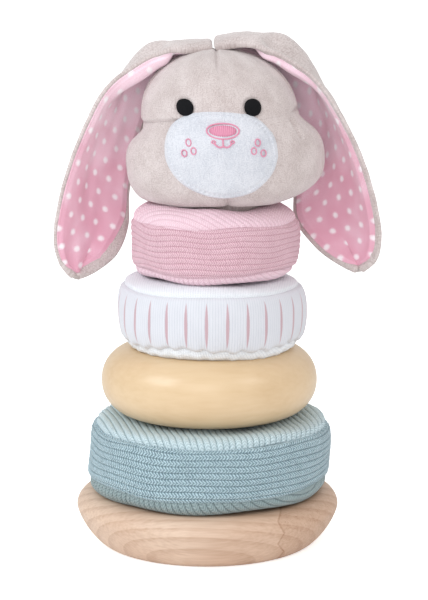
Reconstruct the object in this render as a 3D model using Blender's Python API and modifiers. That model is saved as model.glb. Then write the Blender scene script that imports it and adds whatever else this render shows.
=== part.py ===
"""Stacking ring toy: a pine base with a dowel, three sewn rings, one turned ring and a plush head.

Metres, +Z up, -Y towards the face.  The origin is the centre of the base's underside.
Every ring and the head drop over the dowel, and each hangs a little to one side of it,
because the bores are wider than the dowel.  Left and right are the viewer's.
"""

from math import asin, atan2, cos, degrees, hypot, pi, radians, sin

import bmesh
import bpy
from mathutils import Vector

MM = 0.001

# Driving dimensions
GAP = 0.3 * MM              # clearance between two neighbouring solids
CLOTH = 1.8 * MM            # thickness of a knitted or plush cover
SEAM = 0.9 * MM             # distance between two sewn panels
SEGMENTS = 28               # facets round a soft ring

BASE_RADIUS = 62.5 * MM
BASE_HEIGHT = 25.0 * MM
BASE_FOOT_RADIUS = 55.5 * MM
BASE_TOP_RADIUS = 52.0 * MM

POST_RADIUS = 8.0 * MM
POST_TOP = 199.0 * MM
POST_FOOT = 11.3 * MM       # the dowel stands on a web of the base

COUNTERBORE_RADIUS = 6.0 * MM
COUNTERBORE_DEPTH = 7.0 * MM
PLUG_HEIGHT = 3.0 * MM
SCREW_RADIUS = 2.2 * MM
SCREW_ROOT_RADIUS = 1.6 * MM
SCREW_HEAD_RADIUS = 4.2 * MM
SCREW_TOP = 41.0 * MM
THREAD_PITCH = 4.0 * MM

BORE_RADIUS = 15.0 * MM     # inside of a sewn ring's sleeve
SLEEVE_WALL = 1.2 * MM
SECTION_POWER = 2.8         # squareness of a sewn ring's section; 2 would be round
TORUS_POWER = 2.1
SEAM_ANGLE = 40.0           # degrees round the section from the widest line to a seam
LIP_ANGLE = 158.0           # and to the edge of the bore

# Each ring: outer radius, height and how far its centre sits to the right of the dowel's
BLUE_SIZE = (58.9 * MM, 36.6 * MM, 1.0 * MM)
YELLOW_SIZE = (52.1 * MM, 34.0 * MM, 0.9 * MM)
WHITE_SIZE = (45.4 * MM, 33.4 * MM, 2.1 * MM)
PINK_SIZE = (40.1 * MM, 31.0 * MM, 4.2 * MM)
YELLOW_BORE_RADIUS = 16.6 * MM

BLUE_FOOT = BASE_HEIGHT + GAP
YELLOW_FOOT = BLUE_FOOT + BLUE_SIZE[1] + GAP
WHITE_FOOT = YELLOW_FOOT + YELLOW_SIZE[1] + GAP
PINK_FOOT = WHITE_FOOT + WHITE_SIZE[1] + GAP
HEAD_FOOT = PINK_FOOT + PINK_SIZE[1] + GAP

# The head: an upright round forehead on a wider, flatter lower half
HEAD_HEIGHT = 76.6 * MM
HEAD_SHIFT = 7.2 * MM       # right of the dowel
HEAD_LEAN = -0.075          # sideways shift for each metre of height
FOREHEAD_WIDTH = 40.0 * MM  # half widths
CHEEK_WIDTH = 49.0 * MM
FOREHEAD_DEPTH = 35.0 * MM  # half depths
CHEEK_DEPTH = 38.5 * MM
CHEEK_POWER = 0.55          # below 1, the lower half is fuller than a ball
SOCKET_RADIUS = 16.0 * MM
SOCKET_DEPTH = 42.0 * MM
SIDE_SEAM = 80.0            # degrees from the middle of the face to the seam behind the cheek
CHEEK_SEAM = 0.0            # degrees of latitude of the seam over the cheek
CHIN_SEAM = -62.0
SOLE_LATITUDE = -70.0       # where the underside turns flat
CROWN_EDGE = 84.0

APPLIQUE_GAP = 0.45 * MM    # under whatever is sewn onto the face
MUZZLE_CLOTH = 1.2 * MM
STITCHING = 0.8 * MM        # height of satin stitch
# Each mark on the face: across from the middle, up from the head's mid-height, half width, half height
MUZZLE = (-1.2 * MM, -9.1 * MM, 26.1 * MM, 20.2 * MM)
EYE = (15.3 * MM, 12.8 * MM, 3.85 * MM, 3.85 * MM)
NOSE = (0.2 * MM, 2.0 * MM, 7.7 * MM, 3.8 * MM)
FRECKLE_SIZE = (1.2 * MM, 1.5 * MM)
FRECKLES = ((15.7 * MM, -3.9 * MM), (13.7 * MM, -7.1 * MM), (18.0 * MM, -8.1 * MM))
EYE_SHIFT = -0.8 * MM       # both eyes sit a little left of the middle
MOUTH_HALF_WIDTH = 5.3 * MM
MOUTH_RISE = -4.6 * MM
THREAD_RADIUS = 0.45 * MM

# The ears hang from the crown.  Each edge runs from the root over the side to the tip, in mm.
EAR_SHEET = 1.8 * MM
EAR_HALF_FILLING = 0.25 * MM
EAR_CUP = 3.0 * MM          # how far the middle of an ear stands out behind its edges
LEFT_EAR_PIVOT = (-3.0 * MM, 8.0 * MM, 243.0 * MM)
LEFT_EAR_FRONT = ((0.0, -3.0, 240.5), (-14.0, -5.0, 240.5), (-28.0, -6.0, 236.0), (-41.0, -7.0, 226.5),
                  (-53.0, -7.5, 210.0), (-62.5, -7.0, 190.0), (-69.5, -6.0, 169.0), (-73.0, -4.0, 148.0),
                  (-70.0, -2.0, 134.0), (-64.5, 0.0, 129.0))
LEFT_EAR_BACK = ((-0.5, 19.0, 240.5), (-12.0, 21.0, 239.0), (-24.0, 22.0, 233.0), (-32.0, 22.0, 222.0),
                 (-36.0, 22.0, 205.0), (-38.5, 21.0, 185.0), (-38.5, 19.0, 165.0), (-38.5, 15.0, 150.0),
                 (-45.0, 10.0, 137.0), (-57.0, 5.0, 129.0))
RIGHT_EAR_PIVOT = (7.0 * MM, 8.0 * MM, 243.0 * MM)
RIGHT_EAR_FRONT = ((5.0, -3.0, 241.2), (20.0, -5.0, 241.2), (36.0, -6.0, 237.0), (49.0, -7.0, 226.5),
                   (60.0, -7.5, 210.0), (70.0, -7.0, 190.0), (77.5, -6.0, 169.0), (81.0, -4.0, 149.0),
                   (78.5, -2.0, 137.5), (71.5, 0.0, 132.0))
RIGHT_EAR_BACK = ((5.5, 19.0, 241.2), (20.0, 21.0, 238.7), (34.0, 22.0, 231.0), (44.0, 22.0, 220.0),
                  (50.0, 22.0, 203.0), (52.5, 21.0, 184.0), (47.5, 20.0, 166.0), (45.0, 18.0, 154.0),
                  (53.0, 10.0, 141.0), (64.0, 4.0, 133.0))


def clear_scene():
    """Remove whatever a new file starts with."""
    for item in list(bpy.data.objects):
        bpy.data.objects.remove(item, do_unlink=True)


def new_collection(name):
    group = bpy.data.collections.new(name)
    bpy.context.scene.collection.children.link(group)
    return group


def material(name, colour, roughness):
    paint = bpy.data.materials.new(name)
    paint.use_nodes = True
    shader = paint.node_tree.nodes["Principled BSDF"]
    shader.inputs["Base Color"].default_value = (*colour, 1.0)
    shader.inputs["Roughness"].default_value = roughness
    return paint


def new_frame(name, group, place, parent=None):
    """An empty that a body's pieces hang from, on the line that the body moves along or about."""
    frame = bpy.data.objects.new(name, None)
    frame.empty_display_size = 0.01
    frame.parent = parent
    frame.location = Vector(place) - (parent.location if parent else Vector())
    group.objects.link(frame)
    return frame


def add_object(name, mesh, paint, frame):
    """A piece of a body, in the coordinates of the body's frame."""
    item = bpy.data.objects.new(name, mesh)
    item.parent = frame
    if paint is not None:
        mesh.materials.append(paint)
    frame.users_collection[0].objects.link(item)
    return item


def mesh_from(name, build):
    """A new mesh that the given function fills through bmesh."""
    mesh = bpy.data.meshes.new(name)
    work = bmesh.new()
    build(work)
    work.to_mesh(mesh)
    work.free()
    mesh.shade_smooth()
    return mesh


def turned(name, outline, paint, frame, segments=SEGMENTS, closed=True):
    """Revolve an outline of (radius, height) points, which runs down its outer side."""
    def build(work):
        points = [work.verts.new((radius, 0.0, height)) for radius, height in outline]
        for first, second in zip(points, points[1:]):
            work.edges.new((first, second))
        if closed:
            work.edges.new((points[-1], points[0]))

    item = add_object(name, mesh_from(name, build), paint, frame)
    spin = item.modifiers.new("Turn", "SCREW")
    spin.axis = "Z"
    spin.angle = 2.0 * pi
    spin.steps = segments
    spin.render_steps = segments
    spin.use_merge_vertices = True
    spin.merge_threshold = 0.00001
    spin.use_smooth_shade = True
    return item


def ellipse_arc(radius, height, wide, tall, start, end, count=6):
    """Points on an ellipse of the (radius, height) plane, from one angle in degrees to another."""
    angles = [radians(start + (end - start) * i / (count - 1)) for i in range(count)]
    return [(radius + wide * cos(a), height + tall * sin(a)) for a in angles]


# The base and the dowel

def base_outline():
    """Flat top and foot joined by a full round edge, with the dowel's socket and the counterbore."""
    web = COUNTERBORE_DEPTH
    seat = POST_FOOT - GAP
    edge_height = 0.58 * BASE_HEIGHT
    upper = ellipse_arc(BASE_TOP_RADIUS, edge_height, BASE_RADIUS - BASE_TOP_RADIUS,
                        BASE_HEIGHT - edge_height, 90.0, 0.0)
    lower = ellipse_arc(BASE_FOOT_RADIUS, edge_height, BASE_RADIUS - BASE_FOOT_RADIUS,
                        edge_height, 0.0, -90.0)
    hole = SCREW_RADIUS + GAP
    return (upper + lower[1:]
            + [(COUNTERBORE_RADIUS, 0.0), (COUNTERBORE_RADIUS, web), (hole, web), (hole, seat),
               (POST_RADIUS + GAP, seat), (POST_RADIUS + GAP, BASE_HEIGHT)])


def post_outline():
    """A dowel with a rounded top and a pilot hole for the screw in its foot."""
    pilot = SCREW_RADIUS + GAP
    round_off = 0.6 * POST_RADIUS
    top = ellipse_arc(POST_RADIUS - round_off, POST_TOP - round_off, round_off, round_off, 90.0, 0.0)
    return ([(0.0, POST_TOP)] + top
            + [(POST_RADIUS, POST_FOOT), (pilot, POST_FOOT), (pilot, SCREW_TOP + GAP),
               (0.0, SCREW_TOP + 2.0 * GAP + pilot)])


def screw_outline():
    """A wood screw, point up: coned thread ridges, shank and a flat head."""
    head_foot = PLUG_HEIGHT + GAP
    head_top = COUNTERBORE_DEPTH - GAP
    thread_foot = POST_FOOT + THREAD_PITCH
    ridges = int((SCREW_TOP - SCREW_RADIUS - thread_foot) / THREAD_PITCH)
    outline = [(0.0, SCREW_TOP)]
    for ridge in range(ridges, 0, -1):
        height = thread_foot + ridge * THREAD_PITCH
        outline.append((SCREW_ROOT_RADIUS, height))
        outline.append((SCREW_RADIUS, height - 0.5 * THREAD_PITCH))
    return outline + [(SCREW_ROOT_RADIUS, thread_foot), (SCREW_ROOT_RADIUS, head_top),
                      (SCREW_HEAD_RADIUS, head_top), (SCREW_HEAD_RADIUS, head_foot), (0.0, head_foot)]


def make_base(frame, paints):
    turned("base_disc", base_outline(), paints["pine"], frame, segments=40)
    turned("center_post", post_outline(), paints["pine"], frame, segments=20, closed=False)
    turned("post_screw", screw_outline(), paints["steel"], frame, segments=12, closed=False)
    plug = COUNTERBORE_RADIUS - GAP
    plug_outline = [(0.0, PLUG_HEIGHT), (plug, PLUG_HEIGHT), (plug, 0.0), (0.0, 0.0)]
    turned("screw_plug", plug_outline, paints["pine"], frame, segments=20, closed=False)


# The rings

def ring_section(size, bore, power):
    """The rounded-square section of a ring: a function from an angle and an inset to a point.

    Zero degrees is the ring's widest line, 90 its top and 180 the bore.
    """
    outer, height, _ = size
    middle = 0.5 * (outer + bore)
    half_width = 0.5 * (outer - bore)
    half_height = 0.5 * height

    def point(degrees, inset):
        c = cos(radians(degrees))
        s = sin(radians(degrees))
        wide = half_width - inset
        tall = half_height - inset
        across = abs(c) ** (2.0 / power) * (1.0 if c >= 0.0 else -1.0)
        up = abs(s) ** (2.0 / power) * (1.0 if s >= 0.0 else -1.0)
        return (middle + wide * across, half_height + tall * up)

    return point


def panel_outline(section, start, end, count, inset, thickness):
    """One sewn panel: the outer face runs down from start to end, the inner face runs back."""
    angles = [start + (end - start) * i / (count - 1) for i in range(count)]
    outside = [section(angle, inset) for angle in angles]
    inside = [section(angle, inset + thickness) for angle in reversed(angles)]
    return outside + inside


def make_sewn_ring(name, size, paint, frame):
    """A stuffed ring: core, top panel, side band, bottom panel and a sleeve in the bore."""
    height = size[1]
    section = ring_section(size, BORE_RADIUS + CLOTH, SECTION_POWER)
    seam_gap = degrees(SEAM / height)
    outlines = {
        "top_panel": panel_outline(section, LIP_ANGLE, SEAM_ANGLE + seam_gap, 5, 0.0, CLOTH),
        "side_band": panel_outline(section, SEAM_ANGLE - seam_gap, seam_gap - SEAM_ANGLE, 4, 0.0, CLOTH),
        "bottom_panel": panel_outline(section, -SEAM_ANGLE - seam_gap, -LIP_ANGLE, 5, 0.0, CLOTH),
    }
    for part, outline in outlines.items():
        turned(name + "_" + part, outline, paint, frame)
    turned(name + "_core", section_loop(section, 10, CLOTH + 2.0 * GAP), paint, frame)
    sleeve_outer = BORE_RADIUS + SLEEVE_WALL
    sleeve_top = section(LIP_ANGLE, CLOTH)[1] - GAP
    sleeve_foot = height - sleeve_top
    turned(name + "_inner_sleeve",
           [(BORE_RADIUS, sleeve_top), (sleeve_outer, sleeve_top),
            (sleeve_outer, sleeve_foot), (BORE_RADIUS, sleeve_foot)], paint, frame)


def section_loop(section, count, inset):
    """The whole section as a closed outline."""
    return [section(180.0 - 360.0 * i / count, inset) for i in range(count)]


def make_yellow_ring(paint, frame):
    section = ring_section(YELLOW_SIZE, YELLOW_BORE_RADIUS, TORUS_POWER)
    turned("yellow_ring", section_loop(section, 14, 0.0), paint, frame, segments=36)


# The head

def smooth_step(low, high, value):
    t = min(max((value - low) / (high - low), 0.0), 1.0)
    return t * t * (3.0 - 2.0 * t)


def head_size(latitude):
    """Half width and half depth of the head at a latitude in degrees."""
    level = max(cos(radians(latitude)), 0.0)
    upper = smooth_step(-0.3, 0.25, sin(radians(latitude)))
    full = level ** CHEEK_POWER
    width = CHEEK_WIDTH * full + (FOREHEAD_WIDTH * level - CHEEK_WIDTH * full) * upper
    depth = CHEEK_DEPTH * full + (FOREHEAD_DEPTH * level - CHEEK_DEPTH * full) * upper
    return width, depth


def head_point(turn, latitude, inset=0.0):
    """A point of the head's surface, from the middle of its underside.

    Turn is in degrees from the face, positive to the right.
    """
    width, depth = head_size(latitude)
    half_height = 0.5 * HEAD_HEIGHT
    rise = half_height * sin(radians(latitude))
    scale = 1.0 - inset / half_height
    x = scale * (width * sin(radians(turn)) + HEAD_LEAN * rise)
    y = -scale * depth * cos(radians(turn))
    return Vector((x, y, half_height + scale * rise))


def face_point(across, rise, proud):
    """A point in front of the face, across from its middle and up from mid-height."""
    latitude = degrees(asin(rise / (0.5 * HEAD_HEIGHT)))
    turn = degrees(asin(across / head_size(latitude)[0]))
    return head_point(turn, latitude, -proud)


def grid_surface(name, place, columns, rows):
    """An open sheet: a grid whose corners run from -1 to 1, moved by the given function."""
    def build(work):
        bmesh.ops.create_grid(work, x_segments=columns, y_segments=rows, size=1.0)
        for vertex in work.verts:
            vertex.co = place(vertex.co.x, vertex.co.y)
        work.normal_update()

    return mesh_from(name, build)


def thick_sheet(name, place, columns, rows, thickness, offset, paint, frame):
    """A closed shell: a grid surface with Solidify."""
    item = add_object(name, grid_surface(name, place, columns, rows), paint, frame)
    shell = item.modifiers.new("Thickness", "SOLIDIFY")
    shell.thickness = thickness
    shell.offset = offset
    shell.use_even_offset = True
    return item


def head_panel(name, turns, latitudes, columns, rows, paint, frame):
    """One cut panel of the head's cover, a seam's width short of its neighbours."""
    half_gap = degrees(0.5 * SEAM / CHEEK_DEPTH)
    left, right = turns[0] + half_gap, turns[1] - half_gap
    low, high = latitudes[0] + half_gap, latitudes[1] - half_gap

    def place(across, up):
        turn = left + (right - left) * 0.5 * (across + 1.0)
        latitude = low + (high - low) * 0.5 * (up + 1.0)
        return head_point(turn, latitude)

    thick_sheet(name, place, columns, rows, CLOTH, -1.0, paint, frame)


def make_head_core(paint, frame, cutter_frame):
    """The stuffing: the head's form with a blind socket bored up into it."""
    inset = CLOTH + 3.0 * GAP

    def build(work):
        bmesh.ops.create_uvsphere(work, u_segments=24, v_segments=12, radius=1.0)
        for vertex in work.verts:
            x, y, z = vertex.co
            vertex.co = head_point(degrees(atan2(x, -y)), degrees(atan2(z, hypot(x, y))), inset)

    core = add_object("head_stuffing", mesh_from("head_stuffing", build), paint, frame)
    bore_radius = SOCKET_RADIUS + SLEEVE_WALL + GAP
    bore_top = SOCKET_DEPTH + SLEEVE_WALL + GAP
    cutter = turned("socket_cutter",
                    [(0.0, bore_top), (bore_radius, bore_top), (bore_radius, -CLOTH), (0.0, -CLOTH)],
                    None, cutter_frame, closed=False)
    cutter.hide_render = True
    cutter.display_type = "WIRE"
    bore = core.modifiers.new("Socket", "BOOLEAN")
    bore.operation = "DIFFERENCE"
    bore.object = cutter
    bore.solver = "EXACT"


def sole_point(u, v):
    """The underside, from the socket (v = -1) out to the chin seam, with its own seam at the back."""
    turn = 180.0 * u * (1.0 - SEAM / SOCKET_RADIUS / pi)
    rows = (1.0 - v) * 1.5
    edge = CHIN_SEAM - degrees(0.5 * SEAM / CHEEK_DEPTH)
    latitude = edge + (SOLE_LATITUDE - edge) * 0.5 * min(rows, 2.0)
    rim = head_point(turn, latitude)
    hole = SOCKET_RADIUS + SLEEVE_WALL + CLOTH
    mouth = Vector((hole * sin(radians(turn)), -hole * cos(radians(turn)), 2.0 * GAP))
    return rim.lerp(mouth, max(rows - 2.0, 0.0))


def make_head_cover(paint, frame):
    """Two forehead, two cheek and two back panels, and the underside round the socket."""
    for side, sign in (("left", -1.0), ("right", 1.0)):
        front = sorted((0.0, sign * SIDE_SEAM))
        back = sorted((sign * SIDE_SEAM, sign * 180.0))
        head_panel("head_forehead_" + side, front, (CHEEK_SEAM, CROWN_EDGE), 7, 7, paint, frame)
        head_panel("head_cheek_" + side, front, (CHIN_SEAM, CHEEK_SEAM), 7, 6, paint, frame)
        head_panel("head_back_" + side, back, (CHIN_SEAM, CROWN_EDGE), 7, 10, paint, frame)
    thick_sheet("head_bottom", sole_point, 24, 3, CLOTH, -1.0, paint, frame)
    wall = SOCKET_RADIUS + SLEEVE_WALL
    top = SOCKET_DEPTH + SLEEVE_WALL
    turned("head_socket_sleeve",
           [(0.0, top), (wall, top), (wall, 0.0), (SOCKET_RADIUS, 0.0),
            (SOCKET_RADIUS, SOCKET_DEPTH), (0.0, SOCKET_DEPTH)], paint, frame, closed=False)


# The face

def face_disc(name, oval, proud, thickness, facets, paint, frame):
    """An oval patch that lies on the face: a square grid drawn out to a disc."""
    middle, rise, half_width, half_height = oval

    def place(u, v):
        across = middle + half_width * u * (1.0 - 0.5 * v * v) ** 0.5
        up = rise + half_height * v * (1.0 - 0.5 * u * u) ** 0.5
        return face_point(across, up, proud)

    thick_sheet(name, place, facets, facets, thickness, 1.0, paint, frame)


def face_thread(name, points, proud, paint, frame):
    """A thick embroidered line along points of the face."""
    curve = bpy.data.curves.new(name, "CURVE")
    curve.dimensions = "3D"
    curve.bevel_depth = THREAD_RADIUS
    curve.bevel_resolution = 1
    curve.use_fill_caps = True
    line = curve.splines.new("POLY")
    line.points.add(len(points) - 1)
    for knot, (across, rise) in zip(line.points, points):
        knot.co = (*face_point(across, rise, proud), 1.0)
    add_object(name, curve, paint, frame)


def make_face(paints, frame):
    patch_top = APPLIQUE_GAP + MUZZLE_CLOTH + APPLIQUE_GAP
    face_disc("muzzle_patch", MUZZLE, APPLIQUE_GAP, MUZZLE_CLOTH, 8, paints["white"], frame)
    face_disc("nose", NOSE, patch_top, STITCHING, 4, paints["pink"], frame)
    for side, sign in (("left", -1.0), ("right", 1.0)):
        eye = (EYE_SHIFT + sign * EYE[0], *EYE[1:])
        face_disc("eye_" + side, eye, APPLIQUE_GAP, STITCHING, 4, paints["black"], frame)
        for number, (across, rise) in enumerate(FRECKLES, 1):
            oval = (sign * across, rise, *FRECKLE_SIZE)
            face_disc(f"freckle_{side}_{number}", oval, patch_top, STITCHING, 2, paints["pink"], frame)
    lift = patch_top + THREAD_RADIUS
    smile = [(MOUTH_HALF_WIDTH * step / 6.0, MOUTH_RISE - 1.2 * MM * sin(pi * abs(step) / 6.0))
             for step in range(-6, 7)]
    face_thread("mouth", smile, lift, paints["pink"], frame)
    stem_foot = MOUTH_RISE + THREAD_RADIUS + 2.0 * GAP
    stem_top = NOSE[1] - NOSE[3] - THREAD_RADIUS
    face_thread("mouth_stem", [(0.0, stem_top), (0.0, stem_foot)], lift, paints["pink"], frame)


# The ears

def along(points, t):
    """A smooth curve through points given in mm, at t from 0 to 1 (Catmull-Rom)."""
    spot = t * (len(points) - 1)
    start = min(int(spot), len(points) - 2)
    f = spot - start
    p0, p1, p2, p3 = (Vector(points[min(max(start + k, 0), len(points) - 1)]) for k in (-1, 0, 1, 2))
    return 0.5 * MM * (2.0 * p1 + (p2 - p0) * f + (2.0 * p0 - 5.0 * p1 + 4.0 * p2 - p3) * f ** 2
                       + (3.0 * p1 - p0 - 3.0 * p2 + p3) * f ** 3)


def make_ear(side, front_edge, back_edge, pivot, paints, frame):
    """A plush outside and a printed lining, each a thick sheet, with their edges side by side."""
    step = 0.01
    outward = 1.0 if side == "left" else -1.0

    def place(u, v):
        t = 0.5 * (u + 1.0)
        front = along(front_edge, t)
        back = along(back_edge, t)
        run = along(front_edge, min(t + step, 1.0)) - along(front_edge, max(t - step, 0.0))
        bulge = (back - front).cross(run).normalized() * outward
        across = 0.5 * (v + 1.0)
        return front.lerp(back, across) + bulge * EAR_CUP * sin(pi * across) - Vector(pivot)

    for part, sign in (("outer", 1.0), ("lining", -1.0)):
        sheet = add_object(f"ear_{side}_{part}", grid_surface("ear", place, 13, 5), paints[part], frame)
        part_way = sheet.modifiers.new("Half the filling", "DISPLACE")
        part_way.mid_level = 0.0
        part_way.strength = -sign * outward * EAR_HALF_FILLING
        shell = sheet.modifiers.new("Thickness", "SOLIDIFY")
        shell.thickness = EAR_SHEET
        shell.offset = -sign * outward
        shell.use_even_offset = True


def main():
    clear_scene()
    group = new_collection("stacking_ring_toy")
    cutters = new_collection("cutters")
    paints = {
        "pine": material("pine", (0.80, 0.62, 0.42), 0.55),
        "steel": material("steel", (0.60, 0.60, 0.60), 0.35),
        "blue": material("blue_knit", (0.42, 0.56, 0.57), 0.95),
        "yellow": material("yellow_paint", (0.88, 0.66, 0.38), 0.35),
        "white": material("white_rib", (0.90, 0.90, 0.90), 0.95),
        "pink": material("pink_knit", (0.86, 0.56, 0.60), 0.95),
        "plush": material("beige_plush", (0.74, 0.65, 0.58), 0.95),
        "dots": material("dotted_lining", (0.86, 0.50, 0.58), 0.85),
        "black": material("black_thread", (0.01, 0.01, 0.012), 0.6),
        "stuffing": material("stuffing", (0.92, 0.92, 0.90), 1.0),
    }
    base_frame = new_frame("base_frame", group, (0.0, 0.0, 0.0))
    blue_frame = new_frame("blue_ring_frame", group, (BLUE_SIZE[2], 0.0, BLUE_FOOT))
    yellow_frame = new_frame("yellow_ring_frame", group, (YELLOW_SIZE[2], 0.0, YELLOW_FOOT))
    white_frame = new_frame("white_ring_frame", group, (WHITE_SIZE[2], 0.0, WHITE_FOOT))
    pink_frame = new_frame("pink_ring_frame", group, (PINK_SIZE[2], 0.0, PINK_FOOT))
    head_frame = new_frame("head_frame", group, (HEAD_SHIFT, 0.0, HEAD_FOOT))
    cutter_frame = new_frame("cutter_frame", cutters, head_frame.location)
    make_base(base_frame, paints)
    make_sewn_ring("blue_ring", BLUE_SIZE, paints["blue"], blue_frame)
    make_yellow_ring(paints["yellow"], yellow_frame)
    make_sewn_ring("white_ring", WHITE_SIZE, paints["white"], white_frame)
    make_sewn_ring("pink_ring", PINK_SIZE, paints["pink"], pink_frame)
    make_head_core(paints["stuffing"], head_frame, cutter_frame)
    make_head_cover(paints["plush"], head_frame)
    make_face(paints, head_frame)
    ears = (("left", LEFT_EAR_FRONT, LEFT_EAR_BACK, LEFT_EAR_PIVOT),
            ("right", RIGHT_EAR_FRONT, RIGHT_EAR_BACK, RIGHT_EAR_PIVOT))
    for side, front_edge, back_edge, pivot in ears:
        ear_frame = new_frame(f"ear_{side}_frame", group, pivot, head_frame)
        ear_paints = {"outer": paints["plush"], "lining": paints["dots"]}
        make_ear(side, front_edge, back_edge, pivot, ear_paints, ear_frame)


main()
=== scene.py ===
"""Looks of the stacking ring toy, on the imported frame.

Metres, +Z up, -Y towards the face.  Left and right are the viewer's.  Every soft piece is a fine mesh
with a UV layer "cloth" in millimetres of the fabric itself: x along its ribs and y across them, so the
modelled ribs and the material's stitches stay together.
"""

from math import cos, pi, radians, sin, tau

import bpy
import numpy as np
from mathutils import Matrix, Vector


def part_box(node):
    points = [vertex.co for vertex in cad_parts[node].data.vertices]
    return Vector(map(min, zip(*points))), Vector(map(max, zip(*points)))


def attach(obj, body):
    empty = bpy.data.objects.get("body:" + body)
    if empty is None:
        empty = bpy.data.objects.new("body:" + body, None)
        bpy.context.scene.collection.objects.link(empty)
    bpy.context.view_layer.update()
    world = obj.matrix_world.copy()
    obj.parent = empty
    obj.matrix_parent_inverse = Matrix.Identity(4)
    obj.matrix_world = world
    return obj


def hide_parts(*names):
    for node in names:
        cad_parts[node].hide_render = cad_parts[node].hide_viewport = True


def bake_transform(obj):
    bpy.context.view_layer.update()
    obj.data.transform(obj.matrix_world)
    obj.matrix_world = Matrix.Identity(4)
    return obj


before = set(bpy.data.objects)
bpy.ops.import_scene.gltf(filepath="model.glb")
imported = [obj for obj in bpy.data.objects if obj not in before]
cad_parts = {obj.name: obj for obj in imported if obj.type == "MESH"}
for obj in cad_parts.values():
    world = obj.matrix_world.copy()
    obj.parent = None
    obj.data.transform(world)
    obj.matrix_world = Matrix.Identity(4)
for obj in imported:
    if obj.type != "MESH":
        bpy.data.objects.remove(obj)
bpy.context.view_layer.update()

MM = 0.001
CLOTH = 1.6 * MM             # thickness that a fabric piece is closed with
LIP = 158.0                  # degrees round a ring's section from its widest line to the bore's edge
BACK_ROWS = 5                # coarse rows on the hidden side of a fabric piece
STROKES = 29                 # pink strokes, and puckers, round the white ring
RIB = {"blue": 3.05, "pink": 2.65, "white": 1.25}        # pitch of each knit's ribs in mm


# Numbers

def smooth(low, high, value):
    """0 below low, 1 above high and an eased rise between; low may be the larger."""
    t = np.clip((value - low) / (high - low), 0.0, 1.0)
    return t * t * (3.0 - 2.0 * t)


def groove(distance, width):
    """1 at a seam and nearly 0 past its width."""
    return np.exp(-(distance / width) ** 2)


def hump(value, centre, width):
    return np.exp(-((value - centre) / width) ** 2)


def ripple(turn, along, seed, turns=(1, 7), lengths=(0.02, 0.08), waves=14):
    """Seeded smooth lumps of about unit height, seamless round a full turn in radians."""
    rng = np.random.default_rng(seed)
    total = np.zeros(np.broadcast(turn, along).shape)
    for _ in range(waves):
        round_ = rng.integers(turns[0], turns[1] + 1) * rng.choice((-1, 1))
        across = tau / rng.uniform(*lengths)
        total += np.sin(round_ * turn + across * along + rng.uniform(0.0, tau))
    return total * (2.0 / waves) ** 0.5


def power_wave(angle, power):
    """Cosine and sine of an angle in radians, drawn out towards a square as power grows past 2."""
    c, s = np.cos(angle), np.sin(angle)
    return np.sign(c) * np.abs(c) ** (2.0 / power), np.sign(s) * np.abs(s) ** (2.0 / power)


def unit(vectors):
    return vectors / np.maximum(np.linalg.norm(vectors, axis=-1, keepdims=True), 1e-9)


def stacked(*parts):
    """Coordinates of any shapes that fit each other, as one array of points."""
    return np.stack(np.broadcast_arrays(*parts), axis=-1)


def turned(centre, radius, turn, height):
    """Points at a radius and a turn in radians from the front, about a vertical line at x = centre."""
    return stacked(centre + radius * np.sin(turn), -radius * np.cos(turn), height)


def full_turn(columns):
    """A closed round of turns as a column; without its last row it is the open round."""
    return np.linspace(-pi, pi, columns + 1)[:, None]


def shares(count):
    return np.linspace(0.0, 1.0, count)[None, :]


def travelled(points):
    """Distance along a line of points, from 0 at the first."""
    return np.concatenate([[0.0], np.cumsum(np.linalg.norm(np.diff(points, axis=0), axis=1))])


# Meshes

def quads(stations, around, ring):
    """Corner numbers (station, place on the loop) of the faces between neighbouring loops."""
    i = np.arange(stations if ring else stations - 1)[:, None]
    j = np.arange(around)[None, :]
    i, j = np.broadcast_arrays(i, j)
    following = (j + 1) % around
    corners_i = np.stack([i, i, i + 1, i + 1], axis=-1).reshape(-1, 4)
    corners_j = np.stack([j, following, following, j], axis=-1).reshape(-1, 4)
    return corners_i, corners_j


def volume_sign(points, faces):
    a, b, c, d = (points[faces[:, k]] for k in range(4))
    return np.sum(np.cross(b - a, c - a) * a) + np.sum(np.cross(c - a, d - a) * a)


def loft(name, points, cloth, ring=False):
    """A closed mesh through closed loops: points is (stations, loop, 3) in metres, cloth the same in mm.

    ring joins the last loop to the first, and cloth then has one station more than points.
    """
    stations, around = points.shape[:2]
    vertices = points.reshape(-1, 3)
    rows, columns = quads(stations, around, ring)
    faces = (rows % stations) * around + columns
    places = rows * around + columns
    caps = [] if ring else [np.arange(around)[::-1], np.arange(around) + (stations - 1) * around]
    if volume_sign(vertices, faces) < 0.0:
        faces, places = faces[:, ::-1], places[:, ::-1]
        caps = [cap[::-1] for cap in caps]
    corners = np.concatenate([faces.ravel(), *caps]).astype(np.int32)
    uv_places = np.concatenate([places.ravel(), *caps]).astype(np.int32)
    starts = np.concatenate([np.arange(len(faces)) * 4,
                             [len(faces) * 4 + around * k for k in range(len(caps))]]).astype(np.int32)
    mesh = bpy.data.meshes.new(name)
    mesh.vertices.add(len(vertices))
    mesh.vertices.foreach_set("co", vertices.astype(np.float32).ravel())
    mesh.loops.add(len(corners))
    mesh.loops.foreach_set("vertex_index", corners)
    mesh.polygons.add(len(starts))
    mesh.polygons.foreach_set("loop_start", starts)
    layer = mesh.uv_layers.new(name="cloth")
    layer.data.foreach_set("uv", cloth.reshape(-1, 2)[uv_places].astype(np.float32).ravel())
    mesh.update()
    mesh.validate()
    mesh.shade_smooth()
    piece = bpy.data.objects.new(name, mesh)
    bpy.context.scene.collection.objects.link(piece)
    return piece


def back_pick(rows, back_rows=BACK_ROWS):
    """Which of the outside's rows the hidden side repeats, last to first."""
    return np.linspace(rows - 1, 0, back_rows).round().astype(int)


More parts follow.
